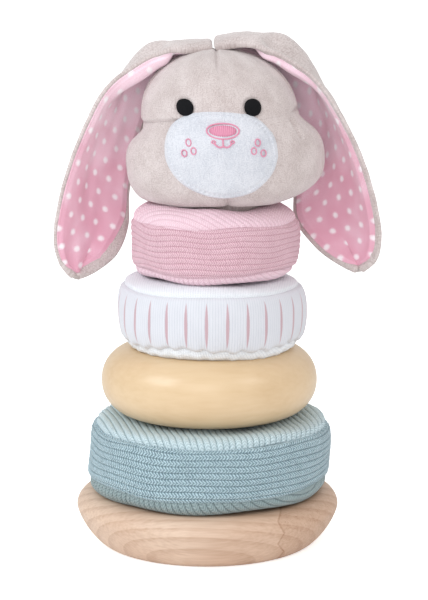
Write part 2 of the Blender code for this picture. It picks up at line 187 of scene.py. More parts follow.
def lined(outside, depth, inward, back_rows=BACK_ROWS):
    """Closes rows of a fabric's outside, (stations, rows, 3), with coarse rows a depth further in.

    Where the outside is hollow, back_rows must be many, or the coarse rows cut through it.
    """
    pick = back_pick(outside.shape[1], back_rows)
    return np.concatenate([outside, outside[:, pick] + inward[:, pick] * depth], axis=1)


def lined_cloth(cloth, back_rows=BACK_ROWS):
    return np.concatenate([cloth, cloth[:, back_pick(cloth.shape[1], back_rows)]], axis=1)


def finish_piece(piece, body, paint, nodes=()):
    """Gives a piece its material and its CAD body, and hides the CAD nodes that it stands for."""
    piece.data.materials.append(paint)
    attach(piece, body)
    if nodes:
        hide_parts(*nodes)


# Materials

def srgb(red, green, blue):
    """Linear colour from 8-bit screen values."""
    shares = [channel / 255.0 for channel in (red, green, blue)]
    linear = [share / 12.92 if share < 0.0404 else ((share + 0.055) / 1.055) ** 2.4 for share in shares]
    return (*linear, 1.0)


class Value:
    """A number in a material's node tree that can be reckoned with."""

    def __init__(self, paint, socket):
        self.paint = paint
        self.socket = socket

    def __add__(self, other):
        return self.paint.math("ADD", self, other)

    def __sub__(self, other):
        return self.paint.math("SUBTRACT", self, other)

    def __rsub__(self, other):
        return self.paint.math("SUBTRACT", other, self)

    def __mul__(self, other):
        return self.paint.math("MULTIPLY", self, other)

    def __truediv__(self, other):
        return self.paint.math("DIVIDE", self, other)

    def __abs__(self):
        return self.paint.math("ABSOLUTE", self)

    __radd__ = __add__
    __rmul__ = __mul__

    def centred(self):
        """How far through its present whole step the value is, from -0.5 to 0.5."""
        return self.paint.math("FRACT", self) - 0.5

    def clamped(self):
        """The same value, cut at 0 and 1 by its own node."""
        self.socket.node.use_clamp = True
        return self

    def rise(self, low, high):
        """0 at low, 1 at high and an eased rise between."""
        made = self.paint.node("ShaderNodeMapRange", interpolation_type="SMOOTHSTEP")
        for key, number in (("Value", self), ("From Min", low), ("From Max", high)):
            self.paint.put(made.inputs[key], number)
        return Value(self.paint, made.outputs["Result"])


class Paint:
    """A node material whose values are built one named step at a time."""

    def __init__(self, name, roughness, sheen=0.0, coat=0.0, specular=0.5):
        self.material = bpy.data.materials.new(name)
        self.material.use_nodes = True
        self.tree = self.material.node_tree
        self.shader = self.tree.nodes["Principled BSDF"]
        settings = {"Roughness": roughness, "Sheen Weight": sheen, "Sheen Roughness": 0.5,
                    "Specular IOR Level": specular, "Coat Weight": coat, "Coat Roughness": 0.25}
        for key, number in settings.items():
            self.shader.inputs[key].default_value = number

    def put(self, socket, value):
        if isinstance(value, Value):
            self.tree.links.new(value.socket, socket)
        else:
            socket.default_value = value

    def node(self, kind, **settings):
        made = self.tree.nodes.new(kind)
        for key, value in settings.items():
            setattr(made, key, value)
        return made

    def math(self, operation, *values):
        made = self.node("ShaderNodeMath", operation=operation)
        for socket, value in zip(made.inputs, values):
            self.put(socket, value)
        return Value(self, made.outputs[0])

    def parts(self, place):
        made = self.node("ShaderNodeSeparateXYZ")
        self.put(made.inputs[0], place)
        return [Value(self, socket) for socket in made.outputs]

    def cloth(self):
        """The fabric's own place, then its two coordinates in mm: along its ribs and across them."""
        place = Value(self, self.node("ShaderNodeUVMap", uv_map="cloth").outputs[0])
        along, across, _ = self.parts(place)
        return place, along, across

    def solid(self):
        """The object's own coordinates in metres."""
        return Value(self, self.node("ShaderNodeTexCoord").outputs["Object"])

    def noise(self, place, scale, detail=2.0, stretch=(1.0, 1.0, 1.0)):
        mapping = self.node("ShaderNodeMapping")
        self.put(mapping.inputs["Vector"], place)
        mapping.inputs["Scale"].default_value = stretch
        made = self.node("ShaderNodeTexNoise")
        self.put(made.inputs["Vector"], Value(self, mapping.outputs[0]))
        made.inputs["Scale"].default_value = scale
        made.inputs["Detail"].default_value = detail
        return Value(self, made.outputs["Fac"])

    def mix(self, amount, first, second):
        made = self.node("ShaderNodeMix", data_type="RGBA")
        for socket, value in zip((made.inputs[0], made.inputs[6], made.inputs[7]), (amount, first, second)):
            self.put(socket, value)
        return Value(self, made.outputs[2])

    def bump(self, height, depth, strength=1.0):
        """Surface relief: height 1 stands the given depth in metres proud of height 0."""
        made = self.node("ShaderNodeBump")
        made.inputs["Strength"].default_value = strength
        made.inputs["Distance"].default_value = depth
        self.put(made.inputs["Height"], height)
        self.put(self.shader.inputs["Normal"], Value(self, made.outputs[0]))

    def colour(self, value):
        self.put(self.shader.inputs["Base Color"], value)

    def roughness(self, value):
        self.put(self.shader.inputs["Roughness"], value)


def ribbed_knit(name, light, dark, rib, stitch, slant, groove_painted_shade, stitch_gap_painted_shade, fuzz=0.35):
    """Knit of flat ribs with narrow grooves, each rib a chain of V stitches.

    rib and stitch are their pitches in mm, slant how far a V's arms lean in stitches.
    """
    paint = Paint(name, 0.95, sheen=0.25)
    place, along, across = paint.cloth()
    spread = abs((across / rib).centred()) * 2.0
    chain = spread.rise(0.16, 0.0)
    phase = along / stitch + spread * slant + paint.noise(place, 0.9) * 1.1
    strand = abs(phase.centred()).rise(0.10, 0.42)
    valley = (spread + strand * 0.22).rise(0.74, 1.08)
    fibre = paint.noise(place, 3.2, detail=3.0)
    cloud = paint.noise(place, 0.12, detail=2.0)
    # Painted shade: the colour darkens in the grooves between ribs, in the gaps between stitches and along
    # each rib's middle line; fibre and cloud are the yarn's own uneven tone.
    gap = paint.math("MAXIMUM", strand * stitch_gap_painted_shade, chain * (0.6 * stitch_gap_painted_shade))
    deep = paint.math("MAXIMUM", gap, valley * groove_painted_shade)
    deep = (deep + (fibre - 0.5) * fuzz + (cloud - 0.5) * 0.25).clamped()
    paint.colour(paint.mix(deep, light, dark))
    height = 1.0 - paint.math("MAXIMUM", strand * 0.7, valley) + fibre * 0.35
    paint.bump(height, 0.35 * MM, strength=0.7)
    return paint.material


def stroked_knit(name, light, dark, mark, rib, spacing, half_width, half_height):
    """Fine vertical knit with a row of tall lens-shaped strokes, all in mm."""
    paint = Paint(name, 0.95, sheen=0.25)
    place, along, across = paint.cloth()
    valley = abs((along / rib).centred()).rise(0.30, 0.5)
    fibre = paint.noise(place, 3.0, detail=3.0)
    cloud = paint.noise(place, 0.1)
    # Painted shade: the colour darkens in the grooves between the fine ribs; fibre and cloud are the yarn's
    # own uneven tone.
    deep = (valley * 0.35 + (fibre - 0.5) * 0.5 + cloud * 0.3).clamped()
    aside = abs((along / spacing).centred()) * spacing
    rise = across / half_height
    taper = (1.0 - rise * rise).clamped()
    edge = paint.math("POWER", taper, 0.7) * half_width + (fibre - 0.5) * 0.5
    shown = (edge - aside).rise(0.0, 0.35) * taper.rise(0.02, 0.12)
    paint.colour(paint.mix(shown * 0.92, paint.mix(deep, light, dark), mark))
    paint.bump(fibre * 0.5 - valley * 0.6 + shown * 0.5, 0.25 * MM, strength=0.6)
    return paint.material


def plush(name, light, dark, grain=1.6, depth=0.5):
    """Short-pile plush: clumps of pile about a millimetre wide on softer clouds."""
    paint = Paint(name, 0.95, sheen=0.5)
    place, _, _ = paint.cloth()
    pile = paint.noise(place, grain, detail=4.0)
    rows = paint.noise(place, 0.9, detail=1.0, stretch=(1.0, 0.35, 1.0))
    cloud = paint.noise(place, 0.08, detail=2.0)
    deep = pile * 0.9 + rows * 0.25 + cloud * 0.45
    paint.colour(paint.mix(deep.rise(0.58, 1.06), light, dark))
    paint.bump(pile + rows, depth * MM, strength=0.62)
    return paint.material


def dotted_print(name, ground, shade, dot, spacing, row, radius):
    """Brushed cotton with soft white dots on a staggered lattice, all in mm, darkened along the cloth's y by
    painted shade.
    """
    paint = Paint(name, 0.9, sheen=0.35)
    place, along, across = paint.cloth()
    line = across / row
    odd = paint.math("MODULO", abs(paint.math("FLOOR", line)), 2.0)
    side = (along / spacing + odd * 0.5).centred() * spacing
    rise = line.centred() * row
    fuzz = paint.noise(place, 1.6, detail=3.0)
    away = paint.math("SQRT", side * side + rise * rise) + (fuzz - 0.5) * 1.1
    inside = away.rise(radius * 1.45, radius * 0.35)
    weave = paint.noise(place, 2.4, detail=3.0)
    cloud = paint.noise(place, 0.07)
    # Painted shade: the lining is darkened from 20 mm to 120 mm along the ear, towards its tip.
    wear_and_painted_shade = across.rise(20.0, 120.0)
    deep = weave * 0.6 + cloud * 0.6 + (wear_and_painted_shade - 0.5) * 0.4
    paint.colour(paint.mix(inside * 0.82, paint.mix(deep.rise(0.3, 0.9), ground, shade), dot))
    paint.bump(weave + inside * 0.15, 0.22 * MM, strength=0.5)
    return paint.material


def satin_stitch(name, light, dark, strand=0.42, roughness=0.45, sheen=0.15, specular=0.5):
    """Embroidery: parallel threads laid side by side across the cloth's y."""
    paint = Paint(name, roughness, sheen=sheen, specular=specular)
    place, along, _ = paint.cloth()
    drift = paint.noise(place, 0.8) * 0.5
    crest = 1.0 - abs((along / strand + drift).centred() * 2.0)
    fleck = paint.noise(place, 2.0, detail=2.0, stretch=(2.0, 0.4, 1.0))
    # Painted highlight and shade: each thread is lighter along its crest and darker in the gaps between
    # threads.
    paint.colour(paint.mix((crest * 0.6 + fleck * 0.5).clamped(), dark, light))
    paint.bump(crest, 0.2 * MM, strength=0.6)
    return paint.material


def pine(name, pale, ring, tint, upright):
    """Pale pine: growth rings round a line outside the piece, pores, and two glued boards.

    The grain runs along x, or along z in an upright piece.  Lengths are in metres.
    """
    paint = Paint(name, 0.5, coat=0.08)
    place = paint.solid()
    x, y, z = paint.parts(place)
    run, depth, height = (z, x, y) if upright else (x, y, z)
    bend = paint.noise(place, 11.0, detail=2.0, stretch=(0.4, 1.0, 1.0)) * 0.010
    from_heart = depth * 0.42 + 0.060
    low = height + 0.016
    distance = paint.math("SQRT", from_heart * from_heart + low * low) + bend
    year = paint.math("FRACT", distance * 300.0)
    late = year.rise(0.35, 0.95) * year.rise(1.0, 0.95)
    stretch = (1.0, 1.0, 0.06) if upright else (0.06, 1.0, 1.0)
    fibre = paint.noise(place, 900.0, detail=3.0, stretch=stretch)
    pores = paint.noise(place, 1500.0, detail=1.0)
    saw = abs((height * 90.0).centred())
    joint = run - 0.036 + saw * 0.006
    second_board = joint.rise(0.0, 0.0006)
    glue = abs(joint).rise(0.0007, 0.0001)
    end_grain = paint.math("MAXIMUM", second_board, abs(run).rise(0.044, 0.062))
    speckle = pores.rise(0.55, 0.75) * end_grain
    tone = late * 0.26 + (fibre - 0.4) * 0.8 + speckle * 0.34 + second_board * 0.16
    tone = (tone + glue * 0.5).clamped()
    warm = paint.mix(paint.noise(place, 16.0, detail=1.0).rise(0.35, 0.7), pale, tint)
    paint.colour(paint.mix(tone, warm, ring))
    paint.roughness(0.42 + fibre * 0.22)
    paint.bump(fibre - late * 0.4, 0.06 * MM, strength=0.5)
    return paint.material


def painted_wood(name, base, wear_and_painted_shade):
    """Satin paint that lets a little of the turned grain through."""
    paint = Paint(name, 0.38, coat=0.35)
    place = paint.solid()
    grain = paint.noise(place, 500.0, detail=3.0, stretch=(0.08, 0.6, 1.0))
    patch = paint.noise(place, 30.0, detail=3.0)
    dust = paint.noise(place, 1400.0, detail=2.0)
    # The second colour is the paint's worn tone, mixed in by grain and patches; no shade is painted here.
    paint.colour(paint.mix((grain * 0.35 + patch * 0.65).rise(0.35, 0.75), base, wear_and_painted_shade))
    paint.roughness(0.30 + (grain + dust) * 0.10)
    paint.bump(grain + dust * 0.3, 0.05 * MM, strength=0.4)
    return paint.material


def brushed_steel(name):
    paint = Paint(name, 0.35)
    paint.shader.inputs["Metallic"].default_value = 1.0
    scratch = paint.noise(paint.solid(), 2500.0, detail=2.0, stretch=(1.0, 1.0, 0.2))
    paint.colour(paint.mix(scratch, srgb(190, 190, 188), srgb(140, 140, 142)))
    paint.roughness(0.25 + scratch * 0.2)
    paint.bump(scratch, 0.03 * MM, strength=0.3)
    return paint.material


def wadding(name):
    """Polyester stuffing: matt white clumps."""
    paint = Paint(name, 1.0, sheen=0.4)
    clump = paint.noise(paint.solid(), 260.0, detail=4.0)
    paint.colour(paint.mix(clump, srgb(240, 240, 236), srgb(205, 205, 200)))
    paint.bump(clump, 1.0 * MM, strength=0.8)
    return paint.material


# The sewn rings

class Ring:
    """Where a sewn ring stands, and its section as a line of even steps from the lip over and under."""

    def __init__(self, name, power):
        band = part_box(name + "_side_band")
        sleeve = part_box(name + "_inner_sleeve")
        self.name = name
        self.centre = 0.5 * (band[0][0] + band[1][0])
        self.outer = 0.5 * (band[1][0] - band[0][0])
        self.bore = 0.5 * (sleeve[1][0] - sleeve[0][0])
        self.middle = 0.5 * (self.outer + self.bore)
        self.sleeve = (sleeve[0][2], sleeve[1][2])
        self.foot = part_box(name + "_bottom_panel")[0][2]
        self.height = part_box(name + "_top_panel")[1][2] - self.foot
        across, up = power_wave(np.radians(np.linspace(LIP, -LIP, 1441)), power)
        self.r = self.middle + 0.5 * (self.outer - self.bore) * across
        self.z = 0.5 * self.height * (1.0 + up)
        self.s = travelled(stacked(self.r, self.z))
        self.length = self.s[-1]
        self.normal_r = -np.gradient(self.z, self.s)
        self.normal_z = np.gradient(self.r, self.s)

    def seam(self, degrees_up):
        """Distance along the section to a seam at an angle round it."""
        up = (self.z - 0.5 * self.height) / self.height
        angle = np.arctan2(up, (self.r - self.middle) / (self.outer - self.bore))
        front = self.r > self.middle
        return float(np.interp(-radians(degrees_up), -angle[front], self.s[front]))

    def point(self, turn, along, proud):
        """Points at a turn in radians from the front, along the section and proud of it."""
        r = np.interp(along, self.s, self.r) + np.interp(along, self.s, self.normal_r) * proud
        z = np.interp(along, self.s, self.z) + np.interp(along, self.s, self.normal_z) * proud
        return turned(self.centre, r, turn, self.foot + z)

    def panel(self, part, start, end, columns, rows, relief, cloth_of):
        """One panel between two seams, functions of turn; relief and cloth_of are of (turn, along)."""
        closed = full_turn(columns)
        turn = closed[:-1]
        along_closed = start(closed) + (end(closed) - start(closed)) * shares(rows)
        along = start(turn) + (end(turn) - start(turn)) * shares(rows)
        outside = self.point(turn, along, relief(turn, along))
        inward = unit(self.point(turn, along, -CLOTH) - self.point(turn, along, 0.0))
        cloth = lined_cloth(stacked(*cloth_of(closed, along_closed)))
        return loft(f"{self.name}_{part}_cover", lined(outside, CLOTH, inward), cloth, ring=True)

    def add_covers(self, upper, lower, columns, body, ribs, plan):
        """The top, the band and the bottom from lip to lip, and the sleeve in the last one's material.

        plan has the rows, the cloth and the material of each.  A panel whose ribs are None is smooth.
        """
        lines = (lambda turn: 0.0 * turn, upper, lower, lambda turn: self.length + 0.0 * turn)
        parts = (("top", "top_panel"), ("band", "side_band"), ("bottom", "bottom_panel"))
        for (part, node), start, end, size, row in zip(parts, lines, lines[1:], ribs, plan):
            rows, cloth_of, paint = row
            relief = ribbed(body, cloth_of, size)
            piece = self.panel(part, start, end, columns, rows, relief, cloth_of)
            finish_piece(piece, self.name, paint, [f"{self.name}_{node}"])
        self.add_sleeve(plan[-1][-1])

    def add_sleeve(self, paint):
        """The tube that lines the bore, slightly gathered."""
        closed = full_turn(160)
        turn = closed[:-1]
        height = self.sleeve[0] + (self.sleeve[1] - self.sleeve[0]) * shares(24)
        radius = self.bore + 0.15 * MM * ripple(turn, height, 71, (5, 14), (0.01, 0.03)) + 0.3 * MM
        inside = turned(self.centre, radius, turn, height)
        outward = turned(0.0, 1.0, turn, 0.0 * height)
        cloth = lined_cloth(stacked(closed * self.bore / MM, (height - self.foot) / MM))
        piece = loft(self.name + "_bore_cover", lined(inside, 0.7 * MM, outward), cloth, ring=True)
        finish_piece(piece, self.name, paint, [self.name + "_inner_sleeve"])


def stuffed(upper, lower, lumps, high_pull, low_pull):
    """A cover's fullness: lumps of a height, a seed and lengths, pulled in at both seams.

    A pull is its depth and its width.
    """
    height, seed, lengths = lumps

    def fullness(turn, along):
        total = height * ripple(turn, along, seed, (1, 6), lengths)
        for line, (depth, width) in ((upper, high_pull), (lower, low_pull)):
            total = total - depth * groove(along - line(turn), width)
        return total

    return fullness


def parallel_ribs(ring, heading):
    """Cloth coordinates of a flat-cut round panel whose ribs run one way, turned by heading in degrees.

    The panel is worn from its inner edge, so distance along the section is distance from the centre.
    """
    h = radians(heading)

    def cloth_of(turn, along):
        from_rim = np.minimum(along, ring.length - along)
        radius = (ring.bore + from_rim) / MM
        x, y = radius * np.sin(turn), -radius * np.cos(turn)
        return x * sin(h) + y * cos(h), x * cos(h) - y * sin(h)

    return cloth_of


def level_ribs(ring, wobble, seed):
    """Cloth coordinates of a side band: x round the ring, y up from the middle, gently wavy."""
    def cloth_of(turn, along):
        drift = wobble * ripple(turn, along, seed, (1, 9), (0.03, 0.09))
        return turn * ring.outer / MM + 0.0 * along, (0.5 * ring.length - along) / MM + drift

    return cloth_of


def ribbed(body, cloth_of, size):
    """A relief with grooves between ribs that follow the cloth's y: size is pitch, depth and width."""
    if size is None:
        return body
    pitch, depth, width = size

    def relief(turn, along):
        across = cloth_of(turn, along)[1] / pitch
        return body(turn, along) - depth * groove((across - np.round(across)) * pitch, width)

    return relief


def seam_line(level, depth, seed, waves):
    """A seam that wanders a little: its distance along the section for each turn."""
    def line(turn):
        return level + depth * ripple(turn, 0.0, seed, waves)

    return line


def add_blue_ring(paints):
    ring = Ring("blue_ring", 3.2)
    top_seam, low_seam = ring.seam(42.0), ring.seam(-33.0)
    upper = seam_line(top_seam, 0.5 * MM, 11, (1, 5))
    lower = seam_line(low_seam, 0.7 * MM, 12, (1, 6))
    fullness = stuffed(upper, lower, (0.55 * MM, 13, (0.03, 0.09)),
                       (1.5 * MM, 1.5 * MM), (1.2 * MM, 1.4 * MM))

    def body(turn, along):
        pucker = 0.22 * MM * np.sin(74.0 * turn) * groove(along - upper(turn), 3.0 * MM)
        gather = groove(np.hypot((turn + radians(42.0)) * ring.outer, along - low_seam), 6.0 * MM)
        crease = 0.9 * MM * gather * (0.6 + 0.4 * np.sin(90.0 * turn))
        shoulder = 1.8 * MM * groove(along - top_seam + 3.0 * MM, 7.0 * MM)
        sag = 2.2 * MM * groove(along - low_seam - 5.0 * MM, 7.0 * MM)
        return fullness(turn, along) + pucker - crease + shoulder + sag

    plan = ((110, parallel_ribs(ring, -13.0), paints["blue_top_painted_light"]),
            (110, level_ribs(ring, 0.3, 14), paints["blue_band"]),
            (90, parallel_ribs(ring, 38.0), paints["blue_low_painted_shade"]))
    ring.add_covers(upper, lower, 820, body, [(RIB["blue"], 0.62 * MM, 0.42)] * 3, plan)


def add_white_ring(paints):
    ring = Ring("white_ring", 3.0)
    top_seam, low_seam = ring.seam(44.0), ring.seam(-47.0)
    upper = seam_line(top_seam, 0.3 * MM, 21, (1, 5))
    wander = seam_line(low_seam, 0.4 * MM, 22, (2, 9))

    def lower(turn):
        return wander(turn) + 0.5 * MM * np.sin(STROKES * turn + 1.0)

    fullness = stuffed(upper, lower, (0.45 * MM, 23, (0.03, 0.09)),
                       (0.8 * MM, 1.0 * MM), (1.5 * MM, 1.6 * MM))

    def body(turn, along):
        pucker = np.sin(STROKES * turn + 0.4) + 0.6 * np.sin(47.0 * turn + 2.0)
        low_pucker = 0.32 * MM * pucker * groove(along - lower(turn), 5.0 * MM)
        high_pucker = 0.10 * MM * np.sin(61.0 * turn) * groove(along - upper(turn), 3.0 * MM)
        sag = 2.0 * MM * groove(along - low_seam - 6.0 * MM, 7.0 * MM)
        return fullness(turn, along) + low_pucker + high_pucker + sag

    def band_cloth(turn, along):
        around = (turn + radians(3.0) + pi / STROKES) * ring.outer / MM
        return around + 0.0 * along, (0.5 * (top_seam + low_seam) - along) / MM

    plan = ((90, parallel_ribs(ring, 4.0), paints["white_top"]),
            (90, band_cloth, paints["white_band"]),
            (70, parallel_ribs(ring, 20.0), paints["white_top"]))
    fine = (RIB["white"], 0.10 * MM, 0.3)
    ring.add_covers(upper, lower, 720, body, (fine, None, fine), plan)


def add_pink_ring(paints):
    ring = Ring("pink_ring", 3.3)
    top_seam, low_seam = ring.seam(42.0), ring.seam(-40.0)
    upper = seam_line(top_seam, 0.5 * MM, 31, (1, 6))
    lower = seam_line(low_seam, 0.5 * MM, 32, (1, 6))
    fullness = stuffed(upper, lower, (0.5 * MM, 33, (0.025, 0.08)),
                       (0.7 * MM, 1.2 * MM), (0.9 * MM, 1.4 * MM))

    def body(turn, along):
        dent = 1.1 * MM * groove(np.hypot((turn - radians(38.0)) * ring.outer, along - low_seam), 9.0 * MM)
        puffed = 3.6 * MM * groove(along - 0.17 * ring.length, 0.09 * ring.length)
        left = smooth(0.2, -0.9, np.sin(turn))
        shoulder = 2.8 * MM * left * groove(along - 0.85 * top_seam, 9.0 * MM)
        return fullness(turn, along) - dent + puffed + shoulder

    plan = ((90, parallel_ribs(ring, -58.0), paints["pink_top_painted_light"]),
            (100, level_ribs(ring, 0.60, 34), paints["pink_band"]),
            (80, parallel_ribs(ring, 20.0), paints["pink_top_painted_light"]))
    ring.add_covers(upper, lower, 640, body, [(RIB["pink"], 0.36 * MM, 0.5)] * 3, plan)


# The wooden pieces

def lathe(name, outline, centre, segments):
    """Revolves a closed outline of (radius, height) points about a vertical line."""
    closed = np.linspace(0.0, tau, segments + 1)[:, None]
    r, z = np.array(outline).T
    cloth = stacked(closed * max(r) / MM, z / MM)
    return loft(name, turned(centre, r, closed[:-1], z), cloth, ring=True)


def curve_points(corner, wide, tall, start, end, count, power=2.0):
    """A quarter of an oval about a corner, between two angles in degrees."""
    across, up = power_wave(np.radians(np.linspace(start, end, count)), power)
    return list(zip(corner[0] + wide * across, corner[1] + tall * up))


def line_points(corners, counts):
    """Points along straight legs between corners, each cut in its count; the last corner is left out."""
    points = []
    for first, last, count in zip(corners, corners[1:], counts):
        leg = np.subtract(last, first)
        points += [tuple(first + leg * i / count) for i in range(count)]
    return points


class Post:
    """The dowel's size, and the hole it stands in."""

    def __init__(self):
        low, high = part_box("center_post")
        self.foot, self.top = low[2], high[2]
        self.radius = 0.5 * (high[0] - low[0])
        self.gap = 0.3 * MM
        self.screw_bore = 2.5 * MM


def add_base(post, paint):
    """The disc, with the dowel's socket and the screw's counterbore."""
    low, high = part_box("base_disc")
    plug_low, plug_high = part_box("screw_plug")
    radius, height = 0.5 * (high[0] - low[0]) + 1.1 * MM, high[2]
    waist = 0.70 * height
    top, foot = radius - 9.5 * MM, radius - 12.5 * MM
    socket, seat = post.radius + post.gap, post.foot - post.gap
    hole, web = 0.5 * (plug_high[0] - plug_low[0]) + post.gap, 7.0 * MM
    bore = post.screw_bore
    outline = line_points([(socket, seat), (socket, height), (top, height)], (12, 30))
    outline += curve_points((top, waist), radius - top, height - waist, 90.0, 0.0, 50)
    outline += curve_points((foot, waist), radius - foot, waist, 0.0, -90.0, 50, power=1.35)[1:]
    inside = [(foot, 0.0), (hole, 0.0), (hole, web), (bore, web), (bore, seat), (socket, seat)]
    outline += line_points(inside, (30, 6, 6, 4, 6))[1:]
    disc = lathe("base_board", outline, 0.0, 256)
    finish_piece(disc, "base", paint, ["base_disc"])


def add_dowel(post, paint):
    """The post, rounded at its top and bored for the screw."""
    round_off = 0.6 * post.radius
    tiny = 0.02 * MM
    bore = post.screw_bore
    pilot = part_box("post_screw")[1][2] + 2.0 * post.gap
    corner = (post.radius - round_off, post.top - round_off)
    edge = curve_points(corner, round_off, round_off, 90.0, 0.0, 12)
    inside = [edge[-1], (post.radius, post.foot), (bore, post.foot), (bore, pilot), (tiny, pilot + bore),
              (tiny, post.top)]
    outline = line_points([(tiny, post.top), edge[0]], (6,)) + edge
    outline += line_points(inside, (60, 6, 20, 6, 8))[1:]
    piece = lathe("post_dowel", outline, 0.0, 96)
    finish_piece(piece, "base", paint, ["center_post"])


def add_yellow_ring(paint):
    """A turned ring: nearly a torus, with the faint flats of a hand-sanded surface."""
    low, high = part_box("yellow_ring")
    centre = 0.5 * (low[0] + high[0])
    outer = 0.5 * (high[0] - low[0])
    bore = 16.6 * MM
    half = 0.5 * (high[2] - low[2])
    across, up = power_wave(np.linspace(0.0, tau, 160, endpoint=False), 2.12)
    radius = 0.5 * (outer + bore) + 0.5 * (outer - bore) * across
    piece = lathe("yellow_wood_ring", list(zip(radius, low[2] + half + half * up)), centre, 288)
    finish_piece(piece, "yellow_ring", paint, ["yellow_ring"])


# The head

LEAN = -0.075                # sideways shift for each metre of height
SIDE_SEAM = 80.0             # degrees from the middle of the face to the seam behind the cheek
CHIN_SEAM = -62.0            # latitudes in degrees
CROWN = 89.0
TILT = 3.3 * MM              # the right cheek sits higher than the left
BROW, CHEEK = 5.1 * MM, -14.9 * MM                   # centres, from the head's mid-height
BROW_WIDE, BROW_DEEP = 37.4 * MM, 35.0 * MM          # half sizes of the forehead
CHEEK_WIDE, CHEEK_DEEP = 47.6 * MM, 37.0 * MM        # half sizes of the cheeks
BROW_POWER, CHEEK_POWER = 2.1, 2.7                   # the cheeks are the squarer
STITCH_LIFT = 2.35 * MM      # how far threads on the muzzle stand off the head's own surface


def union(first, second, reach):
    """The larger of two sizes, with the crease between them filled over the given reach."""
    share = np.clip(0.5 + 0.5 * (first - second) / reach, 0.0, 1.0)
    return second + (first - second) * share + reach * share * (1.0 - share)


def dome(rise, centre, half_height, half_width, power):
    """Half width of an oval at a height; negative outside it."""
    left = 1.0 - np.abs((rise - centre) / half_height) ** power
    return half_width * np.sign(left) * np.abs(left) ** (1.0 / power)


class Head:
    """The head's outside, shared by its panels and by what is sewn onto them."""

    def __init__(self):
        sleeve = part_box("head_socket_sleeve")
        self.x = 0.5 * (sleeve[0][0] + sleeve[1][0])
        self.foot = sleeve[0][2]
        self.half = 0.5 * (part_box("head_forehead_left")[1][2] - self.foot) + 0.2 * MM
        self.middle = self.foot + self.half
        self.socket = 0.5 * (sleeve[1][0] - sleeve[0][0])
        self.eyes = [self.mark("eye_left"), self.mark("eye_right")]

    def mark(self, node):
        """Across, rise, half width and half height of a mark on the face, from its CAD box."""
        low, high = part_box(node)
        rise = 0.5 * (low[2] + high[2]) - self.middle
        across = 0.5 * (low[0] + high[0]) - self.x - LEAN * rise
        return across, rise, 0.5 * (high[0] - low[0]), 0.5 * (high[2] - low[2])

    def size(self, turn, rise):
        """Half width and half depth: an upright forehead over fuller cheeks, creased at the sides only."""
        aside = np.abs(np.sin(turn)) ** 3
        reach = (15.0 - 9.5 * aside) * MM
        lift = TILT * np.sin(turn)
        top = self.half - BROW
        wide = union(dome(rise, BROW, top, BROW_WIDE, BROW_POWER),
                     dome(rise, CHEEK + lift, 22.8 * MM, CHEEK_WIDE, CHEEK_POWER), reach)
        deep = union(dome(rise, BROW, top, BROW_DEEP, BROW_POWER),
                     dome(rise, CHEEK + 0.4 * lift, 23.6 * MM, CHEEK_DEEP, CHEEK_POWER), reach)
        return np.maximum(wide, 0.0), np.maximum(deep, 0.0)

    def seam_rise(self, turn):
        """Height of the seam over the cheek."""
        return 7.0 * MM + 3.6 * MM * np.sin(turn) ** 3

    def surface(self, turn, rise):
        wide, deep = self.size(turn, rise)
        x = self.x + wide * np.sin(turn) + LEAN * rise
        return stacked(x, -deep * np.cos(turn), self.middle + rise)

    def normal(self, turn, rise):
        step = 0.002
        around = self.surface(turn + step, rise) - self.surface(turn - step, rise)
        up = self.surface(turn, rise + step * self.half) - self.surface(turn, rise - step * self.half)
        return unit(np.cross(around, up))

    def relief(self, turn, rise):
        """Seams, darts, the dents round the eyes and the stuffing's lumps."""
        latitude = np.degrees(np.arcsin(np.clip(rise / self.half, -1.0, 1.0)))
        wide = self.size(turn, rise)[0]
        across = wide * np.sin(turn)
        front = np.cos(turn) > 0.0
        side = (np.abs(turn) - radians(SIDE_SEAM)) * wide
        middle = np.where(front, np.abs(turn), pi - np.abs(turn)) * wide
        crown = 0.06 + 1.3 * smooth(46.0, 60.0, latitude) + 0.8 * smooth(-25.0, -45.0, latitude)
        over_cheek = smooth(radians(SIDE_SEAM + 16.0), radians(SIDE_SEAM + 2.0), np.abs(turn))
        side_on = np.sin(turn)
        over_cheek = over_cheek * np.where(turn < 0.0, smooth(-0.25, -0.62, side_on),
                                           smooth(0.86, 0.97, side_on))
        sunk = 0.7 * MM * groove(side, 1.0 * MM)
        sunk = sunk + 0.8 * MM * crown * groove(middle, 0.9 * MM)
        sunk = sunk + 1.5 * MM * over_cheek * groove(rise - self.seam_rise(turn), 1.1 * MM)
        sunk = sunk + 0.4 * MM * groove(np.radians(latitude - CHIN_SEAM) * self.half, 1.3 * MM)
        sunk = sunk + 1.2 * MM * front * groove(np.hypot(across, rise + 0.80 * self.half), 3.0 * MM)
        sunk = sunk + 1.5 * MM * front * self.dart(across, rise)
        for eye_across, eye_rise, half_width, _ in self.eyes:
            away = np.hypot(across - eye_across, rise - eye_rise)
            sunk = sunk + 0.8 * MM * front * hump(away, 0.95 * half_width, 1.0 * MM)
        lumps = 0.4 * MM * ripple(turn, rise, 41, (1, 5), (0.03, 0.09)) * np.cos(np.radians(latitude))
        return lumps - sunk

    def dart(self, across, rise):
        """The short slanting dart on the right cheek."""
        start = np.array((32.5, 6.5)) * MM
        end = np.array((36.5, -1.0)) * MM
        run = end - start
        share = np.clip(((across - start[0]) * run[0] + (rise - start[1]) * run[1]) / (run @ run), 0.0, 1.0)
        away = np.hypot(across - start[0] - share * run[0], rise - start[1] - share * run[1])
        return groove(away, 0.85 * MM)

    def point(self, turn, rise, proud):
        return self.surface(turn, rise) + self.normal(turn, rise) * np.asarray(proud)[..., None]

    def face(self, across, rise, proud):
        """Points proud of the face, across from its middle and up from mid-height."""
        turn = np.zeros(np.broadcast(across, rise).shape)
        for _ in range(12):
            wide = self.size(turn, rise)[0]
            turn = 0.5 * turn + 0.5 * np.arcsin(np.clip(across / wide, -0.98, 0.98))
        return self.point(turn, rise, proud)

    def level(self, degrees_up):
        """A level edge at a latitude, as a function of turn."""
        return lambda turn: self.half * sin(radians(degrees_up)) + 0.0 * turn

